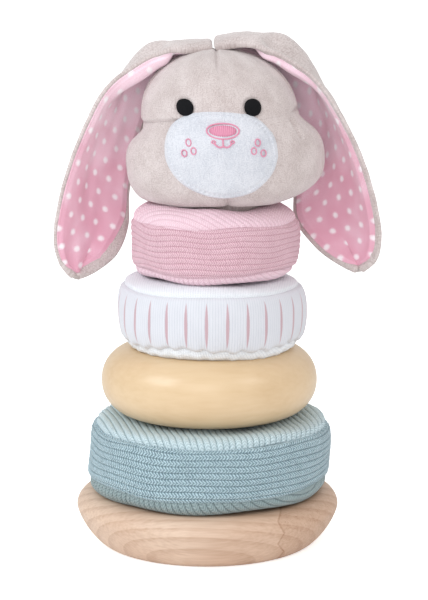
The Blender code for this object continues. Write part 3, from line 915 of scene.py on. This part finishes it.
    def panel(self, name, turns, lower, upper, columns, rows):
        """One cut panel between two turns in degrees; lower and upper give its edges' rise for a turn."""
        turn = np.radians(np.linspace(*turns, columns))[:, None]
        low, high = np.arcsin(lower(turn) / self.half), np.arcsin(upper(turn) / self.half)
        latitude = low + (high - low) * shares(rows)
        rise = self.half * np.sin(latitude)
        outside = self.point(turn, rise, self.relief(turn, rise))
        points = lined(outside, CLOTH, -self.normal(turn, rise), rows // 3)
        return loft(name, points, lined_cloth(stacked(turn * 42.0, latitude * 40.0), rows // 3))


def add_head_cover(head, paints):
    """Forehead, cheek and back panels on both sides, then the underside and the socket's sleeve."""
    chin, crown = head.level(CHIN_SEAM), head.level(CROWN)
    for side, sign in (("left", -1.0), ("right", 1.0)):
        front = sorted((0.0, sign * SIDE_SEAM))
        back = sorted((sign * SIDE_SEAM, sign * 180.0))
        plan = (("forehead", front, head.seam_rise, crown, 240, 200),
                ("cheek", front, chin, head.seam_rise, 240, 150),
                ("back", back, chin, crown, 200, 260))
        for part, turns, lower, upper, columns, rows in plan:
            piece = head.panel(f"{part}_{side}_plush", turns, lower, upper, columns, rows)
            finish_piece(piece, "head", paints["plush"], [f"head_{part}_{side}"])
    add_sole(head, paints["plush"])
    add_socket_sleeve(head, paints["fleece"])


def add_sole(head, paint):
    """The underside, drawn in to the socket's mouth and hollowed over the ring's crown."""
    closed = full_turn(240)
    turn, share = closed[:-1], shares(60)
    edge = head.level(CHIN_SEAM)(turn)
    rim = head.point(turn, edge, head.relief(turn, edge))
    mouth = turned(head.x, head.socket + 0.6 * MM, turn, head.foot + 1.2 * MM)
    flat = rim + (mouth - rim) * share[..., None]
    under = rim[..., 2] + (head.foot + 5.5 * MM - rim[..., 2]) * smooth(0.0, 0.3, share)
    flat[..., 2] = under - 5.1 * MM * smooth(0.50, 0.72, share)
    flat[..., 2] += 0.15 * MM * ripple(turn, share * 0.03, 44, (2, 9), (0.01, 0.03))
    inward = np.zeros(flat.shape)
    inward[..., 2] = 1.0
    cloth = lined_cloth(stacked(closed * 30.0, share * 18.0))
    piece = loft("underside_plush", lined(flat, CLOTH, inward), cloth, ring=True)
    finish_piece(piece, "head", paint, ["head_bottom"])


def add_stuffing(head, paint):
    """The head's wadding: a skin's depth inside its cover, with the socket bored up into it."""
    turn = full_turn(120)[:-1]
    rise = head.half * np.sin(np.radians(np.linspace(CROWN, CHIN_SEAM, 70)))[None, :]
    outside = head.point(turn, rise, -4.0 * MM + 0.0 * turn * rise)
    low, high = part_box("head_socket_sleeve")
    wall, tiny = head.socket + 0.4 * MM, 0.1 * MM
    roof = high[2] + 0.4 * MM
    inner = [(wall, low[2] + 4.0 * MM), (wall, roof), (tiny, roof), (tiny, outside[0, 0, 2])]
    r, z = np.array(line_points(inner, (20, 10, 6))).T
    points = np.concatenate([outside, turned(head.x, r, turn, z)], axis=1)
    cloth = np.zeros((points.shape[0] + 1, points.shape[1], 2))
    piece = loft("head_wadding", points, cloth, ring=True)
    finish_piece(piece, "head", paint, ["head_stuffing"])


def add_socket_sleeve(head, paint):
    """The blind tube inside the head that the dowel's end stands in."""
    foot, roof = (corner[2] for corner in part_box("head_socket_sleeve"))
    wall, tiny = 0.9 * MM, 0.05 * MM
    outer, inner, ceiling = head.socket, head.socket - wall, roof - wall
    corners = [(tiny, roof), (outer, roof), (outer, foot), (inner, foot), (inner, ceiling), (tiny, ceiling),
               (tiny, roof)]
    piece = lathe("socket_sleeve", line_points(corners, (20, 60, 3, 60, 20, 2)), head.x, 160)
    finish_piece(piece, "head", paint, ["head_socket_sleeve"])


# What is sewn onto the face

def patch(head, name, outline, height, rings, spokes):
    """A closed patch on the face: outline is (across, rise) of an angle, height is of (angle, share)."""
    angle = np.linspace(0.0, tau, spokes, endpoint=False)[:, None]
    share = np.linspace(0.004, 1.0, rings)[None, :]
    across, rise = (edge.mean() + (edge - edge.mean()) * share for edge in outline(angle))
    top = head.face(across, rise, height(angle, share))
    pick = back_pick(rings)
    under = head.face(across[:, pick], rise[:, pick], -0.4 * MM + 0.0 * across[:, pick])
    cloth = stacked(across / MM, rise / MM)
    cloth = lined_cloth(np.concatenate([cloth, cloth[:1]], axis=0))
    return loft(name, np.concatenate([top, under], axis=1), cloth, ring=True)


def oval(mark, top_power=2.0, low_power=2.0):
    """An outline round a mark, squarer as its powers grow."""
    across, rise, half_width, half_height = mark

    def outline(angle):
        c, s = power_wave(angle, np.where(np.sin(angle) > 0.0, top_power, low_power))
        return across + half_width * c, rise + half_height * s

    return outline


def oval_path(across, rise, half_width, half_height, count):
    angle = np.linspace(0.0, tau, count, endpoint=False)
    return stacked(across + half_width * np.cos(angle), rise + half_height * np.sin(angle))


def sew(head, paint, name, path, radius, proud, nodes=(), joined=False):
    """A thread of the given radius along (across, rise) points of the face."""
    across, rise = path.T
    spine = head.face(across, rise, proud + 0.0 * across)
    before = spine[-1:] if joined else spine[:1] * 2.0 - spine[1:2]
    after = spine[:1] if joined else spine[-1:] * 2.0 - spine[-2:-1]
    longer = np.vstack([before, spine, after])
    run = unit(longer[2:] - longer[:-2])
    side = unit(np.cross(run, unit(spine - np.array((head.x, 0.0, head.middle)))))
    lift = np.cross(side, run)
    length = travelled(spine)
    twist = 1.0 + 0.10 * np.sin(tau * length / (0.7 * MM))
    angle = np.linspace(0.0, tau, 16, endpoint=False)[None, :, None]
    loops = np.cos(angle) * side[:, None] + np.sin(angle) * lift[:, None]
    loops = spine[:, None] + radius * twist[:, None, None] * loops
    stations = np.append(length, length[-1] + 0.2 * MM) if joined else length
    cloth = stacked(stations[:, None] / MM, np.linspace(0.0, 2.0, 16)[None, :])
    piece = loft(name, loops, cloth, ring=joined)
    finish_piece(piece, "head", paint, nodes)


def add_muzzle(head, paint):
    """White fleece with its edge turned under and stitched down."""
    across, rise, half_width, half_height = head.mark("muzzle_patch")
    mark = (across, rise + 0.9 * MM, 0.97 * half_width, 0.965 * half_height)

    def height(angle, share):
        edge = (1.0 - share) * mark[3]
        full = 1.5 * MM * smooth(0.0, 1.6 * MM, edge) + 0.8 * MM * (1.0 - share ** 3)
        stitched = 0.55 * MM * hump(edge, 2.2 * MM, 0.8 * MM) * (0.7 + 0.3 * np.sin(64.0 * angle))
        return full - stitched + 0.12 * MM * ripple(angle, share * 0.05, 51, (2, 9), (0.02, 0.05)) * share

    piece = patch(head, "muzzle_fleece", oval(mark, 2.5, 1.95), height, 150, 420)
    finish_piece(piece, "head", paint, ["muzzle_patch"])


def add_eyes(head, paint):
    def bead(angle, share):
        return 1.0 * MM * np.sqrt(np.clip(1.0 - share ** 2.6, 0.0, 1.0)) + 0.05 * MM

    for side, (across, rise, half_width, half_height) in zip(("left", "right"), head.eyes):
        outline = oval((across, rise, 0.95 * half_width, 0.97 * half_height), 2.15, 2.15)
        piece = patch(head, f"eye_{side}_stitching", outline, bead, 40, 120)
        finish_piece(piece, "head", paint, [f"eye_{side}"])


def add_nose(head, paints):
    """Vertical satin stitch inside a separate stitched outline."""
    across, rise, half_width, half_height = head.mark("nose")
    half_width, half_height = 0.91 * half_width, 0.90 * half_height
    band = 0.75 * MM

    def frayed(angle):
        c, s = power_wave(angle, 2.1)
        zigzag = 1.0 + 0.05 * np.sin(38.0 * angle)
        return across + (half_width - 2.1 * band) * zigzag * c, rise + (half_height - 1.8 * band) * zigzag * s

    def flat_top(angle, share):
        return STITCH_LIFT + 0.55 * MM * (1.0 - share ** 6)

    fill = patch(head, "nose_stitching", frayed, flat_top, 30, 180)
    finish_piece(fill, "head", paints["nose"], ["nose"])
    edge = oval_path(across, rise, half_width - 0.5 * band, half_height - 0.5 * band, 160)
    sew(head, paints["thread"], "nose_outline", edge, 0.5 * band, STITCH_LIFT - 0.15 * MM, joined=True)


def add_mouth(head, paint):
    """A short stem and two small smiles that curl up into loops, close under the nose."""
    across, _, half_width, _ = head.mark("mouth")
    _, nose_rise, _, nose_half = head.mark("nose")
    reach = 0.70 * half_width
    thread, proud = 0.40 * MM, STITCH_LIFT + 0.1 * MM
    stem_top = nose_rise - 0.9 * nose_half
    low = stem_top - 2.6 * MM
    stem = stacked(across, np.linspace(stem_top, low, 12))
    sew(head, paint, "mouth_stem_thread", stem, thread, STITCH_LIFT, ["mouth_stem"])
    share = np.linspace(-1.0, 1.0, 61)
    sag = low - 0.6 * MM * np.sin(pi * np.abs(share)) + 1.5 * MM * np.abs(share) ** 2.5
    sew(head, paint, "mouth_thread", stacked(across + reach * share, sag), thread, proud, ["mouth"])
    for side, sign in (("left", -1.0), ("right", 1.0)):
        loop = oval_path(across + sign * reach, sag[-1] + 0.2 * MM, 0.8 * MM, 0.55 * MM, 40)
        sew(head, paint, f"mouth_loop_{side}", loop, 0.3 * MM, proud, joined=True)


def add_freckles(head, paint):
    for node in (f"freckle_{side}_{number}" for side in ("left", "right") for number in (1, 2, 3)):
        across, rise, half_width, half_height = head.mark(node)
        path = oval_path(0.91 * across, rise + 1.2 * MM, 0.80 * half_width, 0.86 * half_height, 48)
        sew(head, paint, node + "_thread", path, 0.29 * MM, STITCH_LIFT, [node], joined=True)


# The ears.  Each edge runs from the root over the side to the tip, in mm, close to the CAD's.

EAR_EDGES = {
    "left": (((2.7, -5.0, 237.6), (-9.0, -8.0, 237.2), (-20.0, -9.5, 237.4), (-31.4, -9.5, 232.8),
              (-46.6, -9.0, 221.0), (-56.8, -8.5, 203.6), (-65.0, -8.0, 184.0), (-70.5, -7.0, 165.0),
              (-73.0, -5.0, 148.0), (-70.5, -2.5, 135.5), (-64.0, -0.5, 129.0)),
             ((2.5, 18.0, 238.5), (-10.0, 22.0, 235.5), (-19.0, 23.0, 227.0), (-26.0, 23.0, 214.0),
              (-31.0, 22.5, 200.0), (-35.0, 21.5, 184.0), (-38.0, 20.0, 167.0), (-38.5, 16.0, 151.0),
              (-43.5, 10.0, 138.5), (-53.0, 5.0, 131.0), (-61.5, 1.0, 128.2))),
    "right": (((3.3, -5.0, 238.2), (15.0, -8.5, 240.0), (26.0, -9.5, 238.6), (37.6, -9.5, 234.2),
               (50.6, -9.0, 224.2), (62.2, -8.5, 208.0), (71.8, -8.0, 190.0), (78.8, -7.0, 170.0),
               (82.6, -5.0, 151.0), (81.0, -3.0, 138.0), (74.0, -0.5, 132.0)),
              ((3.5, 18.0, 238.8), (16.0, 22.0, 236.5), (27.0, 23.0, 228.0), (35.0, 23.0, 215.0),
               (41.0, 23.0, 200.0), (43.0, 23.0, 184.0), (42.0, 22.0, 167.0), (43.0, 20.0, 153.0),
               (53.0, 10.0, 141.0), (63.0, 4.0, 134.5), (71.0, 0.5, 131.5))),
}


EAR_END = 0.025              # share of an ear's length that rounds off, at its root and at its tip


def along(points, t):
    """A smooth curve through points in mm, at shares t from 0 to 1 (Catmull-Rom); (..., 3) in metres."""
    knots = np.array(points) * MM
    spot = np.clip(t, 0.0, 1.0) * (len(knots) - 1)
    start = np.minimum(spot.astype(int), len(knots) - 2)
    f = (spot - start)[..., None]
    p0, p1, p2, p3 = (knots[np.clip(start + k, 0, len(knots) - 1)] for k in (-1, 0, 1, 2))
    return 0.5 * (2.0 * p1 + (p2 - p0) * f + (2.0 * p0 - 5.0 * p1 + 4.0 * p2 - p3) * f ** 2
                  + (3.0 * p1 - p0 - 3.0 * p2 + p3) * f ** 3)


class Ear:
    """An ear's middle surface: t from root to tip, v from the front edge to the back edge."""

    def __init__(self, side):
        self.side = side
        self.front, self.back = EAR_EDGES[side]
        self.outward = 1.0 if side == "left" else -1.0
        self.seed = 61 if side == "left" else 67
        t = np.linspace(0.0, 1.0, 200)
        middle = 0.5 * (along(self.front, t) + along(self.back, t))
        self.length = travelled(middle)
        self.t = t

    def frame(self, t):
        step = 0.006
        front, back = along(self.front, t), along(self.back, t)
        later = along(self.front, t + step) + along(self.back, t + step)
        earlier = along(self.front, t - step) + along(self.back, t - step)
        return front, back, unit(np.cross(back - front, later - earlier)) * self.outward

    def middle(self, t, v):
        front, back, out = self.frame(t)
        ridge = 7.0 * MM if self.side == "left" else 10.5 * MM
        cup = 1.2 * MM + (ridge - 1.2 * MM) * smooth(-0.02, 0.28, t) * smooth(1.08, 0.62, t)
        fold = 1.6 * MM * hump(v, 0.62, 0.10) * smooth(0.70, 0.86, t) * smooth(1.02, 0.93, t)
        lumps = 0.5 * MM * ripple(3.0 * t, v * 0.03, self.seed, (1, 5), (0.02, 0.06)) * np.sin(pi * v)
        gathered = smooth(0.15, 0.23, t) * smooth(0.46, 0.30, t)
        fold = fold + gathered * MM * (4.0 * hump(v, 0.50, 0.13) - 5.5 * hump(v, 0.20, 0.13))
        depth = cup * np.sin(pi * v) + fold + lumps
        return front + (back - front) * v[..., None] + out * depth[..., None]

    def normal(self, t, v):
        """Outward from the middle surface; taken a little way in from the root and the tip."""
        step = 0.01
        t = np.clip(t, 0.02, 0.97)
        run = self.middle(t + step, v) - self.middle(t - step, v)
        over = self.middle(t, v + step) - self.middle(t, v - step)
        return unit(np.cross(over, run)) * self.outward

    def cloth(self, t, v):
        """Fabric coordinates in mm: across the ear, and along it."""
        width = np.linalg.norm(along(self.back, t) - along(self.front, t), axis=-1)
        return (v - 0.5) * width / MM, np.interp(t, self.t, self.length) / MM

    def point(self, t, v, proud):
        return self.middle(t, v) + self.normal(t, v) * proud[..., None]


def ear_stations(count):
    """Shares of the ear's length, closer together at its two ends."""
    even = np.linspace(0.0, 1.0, count)
    return 0.003 + 0.994 * (0.5 - 0.5 * np.cos(pi * even)) * 0.35 + 0.994 * 0.65 * even


def rounded(depth):
    """What is left of a thickness or width, 1 at the start of a rounded end and 0 at its tip."""
    return np.sqrt(1.0 - np.clip(depth, 0.0, 1.0) ** 2)


def add_ear(side, paints):
    """The plush outside and the printed lining."""
    ear = Ear(side)
    root = along(ear.front, np.array(0.0))
    reach = along(ear.front, np.array(0.13))
    pieces = ((ear_plush(ear), "plush", "beige_plush", "outer"),
              (ear_lining(ear), "dots", "dotted_lining", "lining"))
    for piece, paint, slot, node in pieces:
        piece.data.materials.append(paints[paint])
        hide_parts(f"ear_{side}_{node}")
        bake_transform(piece)


def ear_plush(ear):
    """The outside: a flat loop round the middle surface, thicker at the root."""
    t = ear_stations(300)[:, None]
    angle = np.linspace(0.0, tau, 150, endpoint=False)[None, :]
    c, s = power_wave(angle, 3.2)
    ends = rounded(1.0 - t / EAR_END) * rounded((t - 1.0 + EAR_END) / EAR_END)
    thick = (1.9 * MM + 1.3 * MM * smooth(0.35, 0.0, t)) * (0.08 + 0.92 * ends)
    v, t_all = np.broadcast_arrays(0.5 - 0.5 * c * (0.80 + 0.20 * ends), t)
    pile = 0.05 * MM * ripple(angle, t * 0.15, ear.seed + 1, (2, 20), (0.004, 0.015))
    points = ear.point(t_all, v, thick * s + pile * np.sign(s))
    return loft(f"ear_{ear.side}_plush", points, np.stack(ear.cloth(t_all, v), axis=-1))


def ear_lining(ear):
    """The printed cotton on the inside, sewn a little way in from the plush's rolled edge."""
    first, last, taper = 0.035, 0.972, 0.17
    t = np.linspace(first, last, 280)[:, None]
    share = shares(110)
    width = np.linalg.norm(along(ear.back, t[:, 0]) - along(ear.front, t[:, 0]), axis=-1)[:, None]
    drawn_in = 0.22 * (1.0 - rounded(smooth(0.80, 1.03, t)))
    turned_over = 3.2 * MM * (ear.side == "left") * smooth(0.62, 0.78, t) * smooth(0.98, 0.88, t)
    front_rim = (0.8 * MM if ear.side == "left" else 2.3 * MM) / width + drawn_in
    back_rim = (1.4 * MM + turned_over) / width + drawn_in
    v, t_all = np.broadcast_arrays(front_rim + (1.0 - front_rim - back_rim) * share, t)
    edge = np.minimum(np.minimum(share, 1.0 - share) * width, (t - first) * taper)
    edge = np.minimum(edge, (last - t) * taper)
    face = 1.6 * MM + 1.3 * MM * smooth(0.0, 3.0 * MM, edge)
    wrinkle = 0.25 * MM * ripple(2.0 * t, v * 0.04, ear.seed + 2, (2, 9), (0.008, 0.03))
    top = ear.point(t_all, v, -(face + wrinkle * smooth(0.0, 4.0 * MM, edge)))
    under = ear.point(t_all, v, -(1.0 * MM + 0.0 * v))
    points = np.concatenate([top, under[:, back_pick(share.shape[1])]], axis=1)
    return loft(f"ear_{ear.side}_print", points, lined_cloth(np.stack(ear.cloth(t_all, v), axis=-1)))


# The studio

# name, azimuth and elevation in degrees, distance and size in metres, watts, tint
LIGHTS = (("key", -58.0, 36.0, 1.3, 0.6, 6.4, (0.90, 0.96, 1.0)),
          ("fill", 52.0, 40.0, 1.3, 0.5, 2.2, (1.0, 0.98, 0.97)),
          ("front", -6.0, 24.0, 1.5, 0.7, 3.4, (1.0, 1.0, 1.0)))


def area_light(name, azimuth, elevation, distance, size, power, tint):
    """A soft square light aimed at the toy's middle; azimuth 0 is in front, positive to the right."""
    data = bpy.data.lights.new(name, "AREA")
    data.size = size
    data.energy = power
    data.color = tint
    light = bpy.data.objects.new(name, data)
    a, e = radians(azimuth), radians(elevation)
    way = Vector((sin(a) * cos(e), -cos(a) * cos(e), sin(e)))
    light.location = Vector((0.0, 0.0, 0.12)) + way * distance
    light.rotation_euler = way.to_track_quat("Z", "Y").to_euler()
    bpy.context.scene.collection.objects.link(light)


def lit(tree, socket, strength, more_to_camera):
    """A glow that the camera sees stronger than the toy does, so that the paper stays white."""
    total = tree.nodes.new("ShaderNodeMath")
    total.operation = "MULTIPLY_ADD"
    tree.links.new(tree.nodes.new("ShaderNodeLightPath").outputs["Is Camera Ray"], total.inputs[0])
    total.inputs[1].default_value = more_to_camera
    total.inputs[2].default_value = strength
    tree.links.new(total.outputs[0], socket)


def add_studio():
    """White paper underfoot and all round."""
    white = (1.0, 1.0, 1.0, 1.0)
    reach = 12.0
    corners = [(-reach, -reach, 0.0), (reach, -reach, 0.0), (reach, reach, 0.0), (-reach, reach, 0.0)]
    mesh = bpy.data.meshes.new("floor")
    mesh.from_pydata(corners, [], [(0, 1, 2, 3)])
    floor = bpy.data.objects.new("floor", mesh)
    bpy.context.scene.collection.objects.link(floor)
    paper = Paint("studio_paper", 0.9)
    grain = paper.noise(paper.solid(), 400.0)
    paper.colour(paper.mix(grain, srgb(244, 244, 244), srgb(241, 241, 241)))
    paper.shader.inputs["Emission Color"].default_value = white
    lit(paper.tree, paper.shader.inputs["Emission Strength"], 0.12, 0.45)
    mesh.materials.append(paper.material)
    world = bpy.data.worlds.new("studio")
    world.use_nodes = True
    sky = world.node_tree.nodes["Background"]
    sky.inputs["Color"].default_value = white
    lit(world.node_tree, sky.inputs["Strength"], 0.73, 0.40)
    bpy.context.scene.world = world
    bpy.context.scene.view_settings.view_transform = "Standard"
    for light in LIGHTS:
        area_light(*light)


def add_camera():
    """A long lens a metre in front of the toy, looking a little down at it."""
    camera = bpy.data.cameras.new("camera")
    camera.lens = 126.6
    camera.sensor_width = 36.0
    view = bpy.data.objects.new("camera", camera)
    view.location = (3.2 * MM, -1.0, 298.4 * MM)
    looking_down = 0.179
    view.rotation_euler = (0.5 * pi - looking_down, 0.0, 0.0)
    bpy.context.scene.collection.objects.link(view)
    bpy.context.scene.camera = view


# Putting it together

def knits():
    """The ribbed knits: light, dark, ribs' pitch, stitch, slant, painted shade in the grooves, painted shade
    in the stitch gaps, fuzz.
    """
    blue, pink, white = RIB["blue"], RIB["pink"], RIB["white"]
    rows = {
        # Painted light: the top panel's knit is made paler to offset the shade that the yellow ring casts on
        # it.
        "blue_top_painted_light": ("blue_knit_top_painted_light", (208, 226, 232), (112, 140, 148), blue, 1.25, 0.9, 0.75, 0.45, 0.35),
        "blue_band": ("blue_knit_band", (185, 209, 218), (74, 101, 111), blue, 1.55, 1.1, 0.8, 0.8, 0.35),
        # Painted shade: the bottom panel's knit is made darker than the top's to stand for the shade under
        # the ring.
        "blue_low_painted_shade": ("blue_knit_low_painted_shade", (152, 170, 172), (68, 86, 90), blue, 1.25, 0.9, 0.75, 0.45, 0.35),
        "white_top": ("white_rib_top", (243, 246, 250), (204, 210, 220), white, 1.1, 0.6, 0.5, 0.2, 0.3),
        # Painted light: the knit of the top and bottom panels is made paler to offset the shade that the head
        # casts on the top.
        "pink_top_painted_light": ("pink_knit_top_painted_light", (242, 214, 224), (202, 150, 166), pink, 1.1, 0.9, 0.5, 0.4, 0.6),
        "pink_band": ("pink_knit_band", (231, 197, 207), (172, 111, 128), pink, 1.1, 1.0, 0.65, 0.6, 0.8),
    }
    return {key: ribbed_knit(name, srgb(*light), srgb(*dark), *sizes)
            for key, (name, light, dark, *sizes) in rows.items()}


def make_paints():
    low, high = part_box("white_ring_side_band")
    stroke_spacing = pi * (high[0] - low[0]) / MM / STROKES
    strokes = {"rib": 1.3, "spacing": stroke_spacing, "half_width": 0.95, "half_height": 11.5}
    dots = {"spacing": 9.0, "row": 7.6, "radius": 1.5}
    dull = {"roughness": 0.6, "sheen": 0.0, "specular": 0.12}
    return {
        **knits(),
        "board": pine("pine_board", srgb(221, 194, 172), srgb(164, 122, 92), srgb(208, 176, 152), False),
        "dowel": pine("pine_dowel", srgb(234, 208, 178), srgb(200, 166, 130), srgb(228, 200, 172), True),
        "yellow": painted_wood("yellow_paint", srgb(219, 191, 153), srgb(209, 178, 137)),
        "white_band": stroked_knit("white_rib_band", srgb(220, 221, 227), srgb(186, 190, 200),
                                   srgb(194, 160, 168), **strokes),
        "plush": plush("beige_plush", srgb(214, 203, 201), srgb(180, 165, 162)),
        "fleece": plush("white_fleece", srgb(219, 220, 226), srgb(190, 193, 202), grain=1.9, depth=0.35),
        "dots": dotted_print("dotted_lining", srgb(255, 229, 241), srgb(230, 170, 190),
                             srgb(255, 252, 255), **dots),
        "black": satin_stitch("black_thread", srgb(22, 22, 26), srgb(4, 4, 5), **dull),
        "nose": satin_stitch("pink_satin", srgb(230, 158, 184), srgb(186, 98, 130), strand=0.85),
        "thread": satin_stitch("pink_thread", srgb(236, 160, 186), srgb(208, 124, 152)),
        "stuffing": wadding("polyester_wadding"),
        "steel": brushed_steel("screw_steel"),
    }


def repaint_nodes(paints):
    """Materials for the CAD pieces that stay as they are, all hidden inside at rest."""
    kept = {"post_screw": "steel", "screw_plug": "dowel"}
    kept.update({f"{colour}_ring_core": "stuffing" for colour in ("blue", "white", "pink")})
    for node, paint in kept.items():
        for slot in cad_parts[node].material_slots:
            slot.material = paints[paint]


def main():
    paints = make_paints()
    post = Post()
    add_base(post, paints["board"])
    add_dowel(post, paints["dowel"])
    add_blue_ring(paints)
    add_yellow_ring(paints["yellow"])
    add_white_ring(paints)
    add_pink_ring(paints)
    head = Head()
    add_head_cover(head, paints)
    add_stuffing(head, paints["stuffing"])
    add_muzzle(head, paints["fleece"])
    add_eyes(head, paints["black"])
    add_nose(head, paints)
    add_mouth(head, paints["thread"])
    add_freckles(head, paints["thread"])
    for side in ("left", "right"):
        add_ear(side, paints)
    repaint_nodes(paints)
    add_studio()
    add_camera()


main()
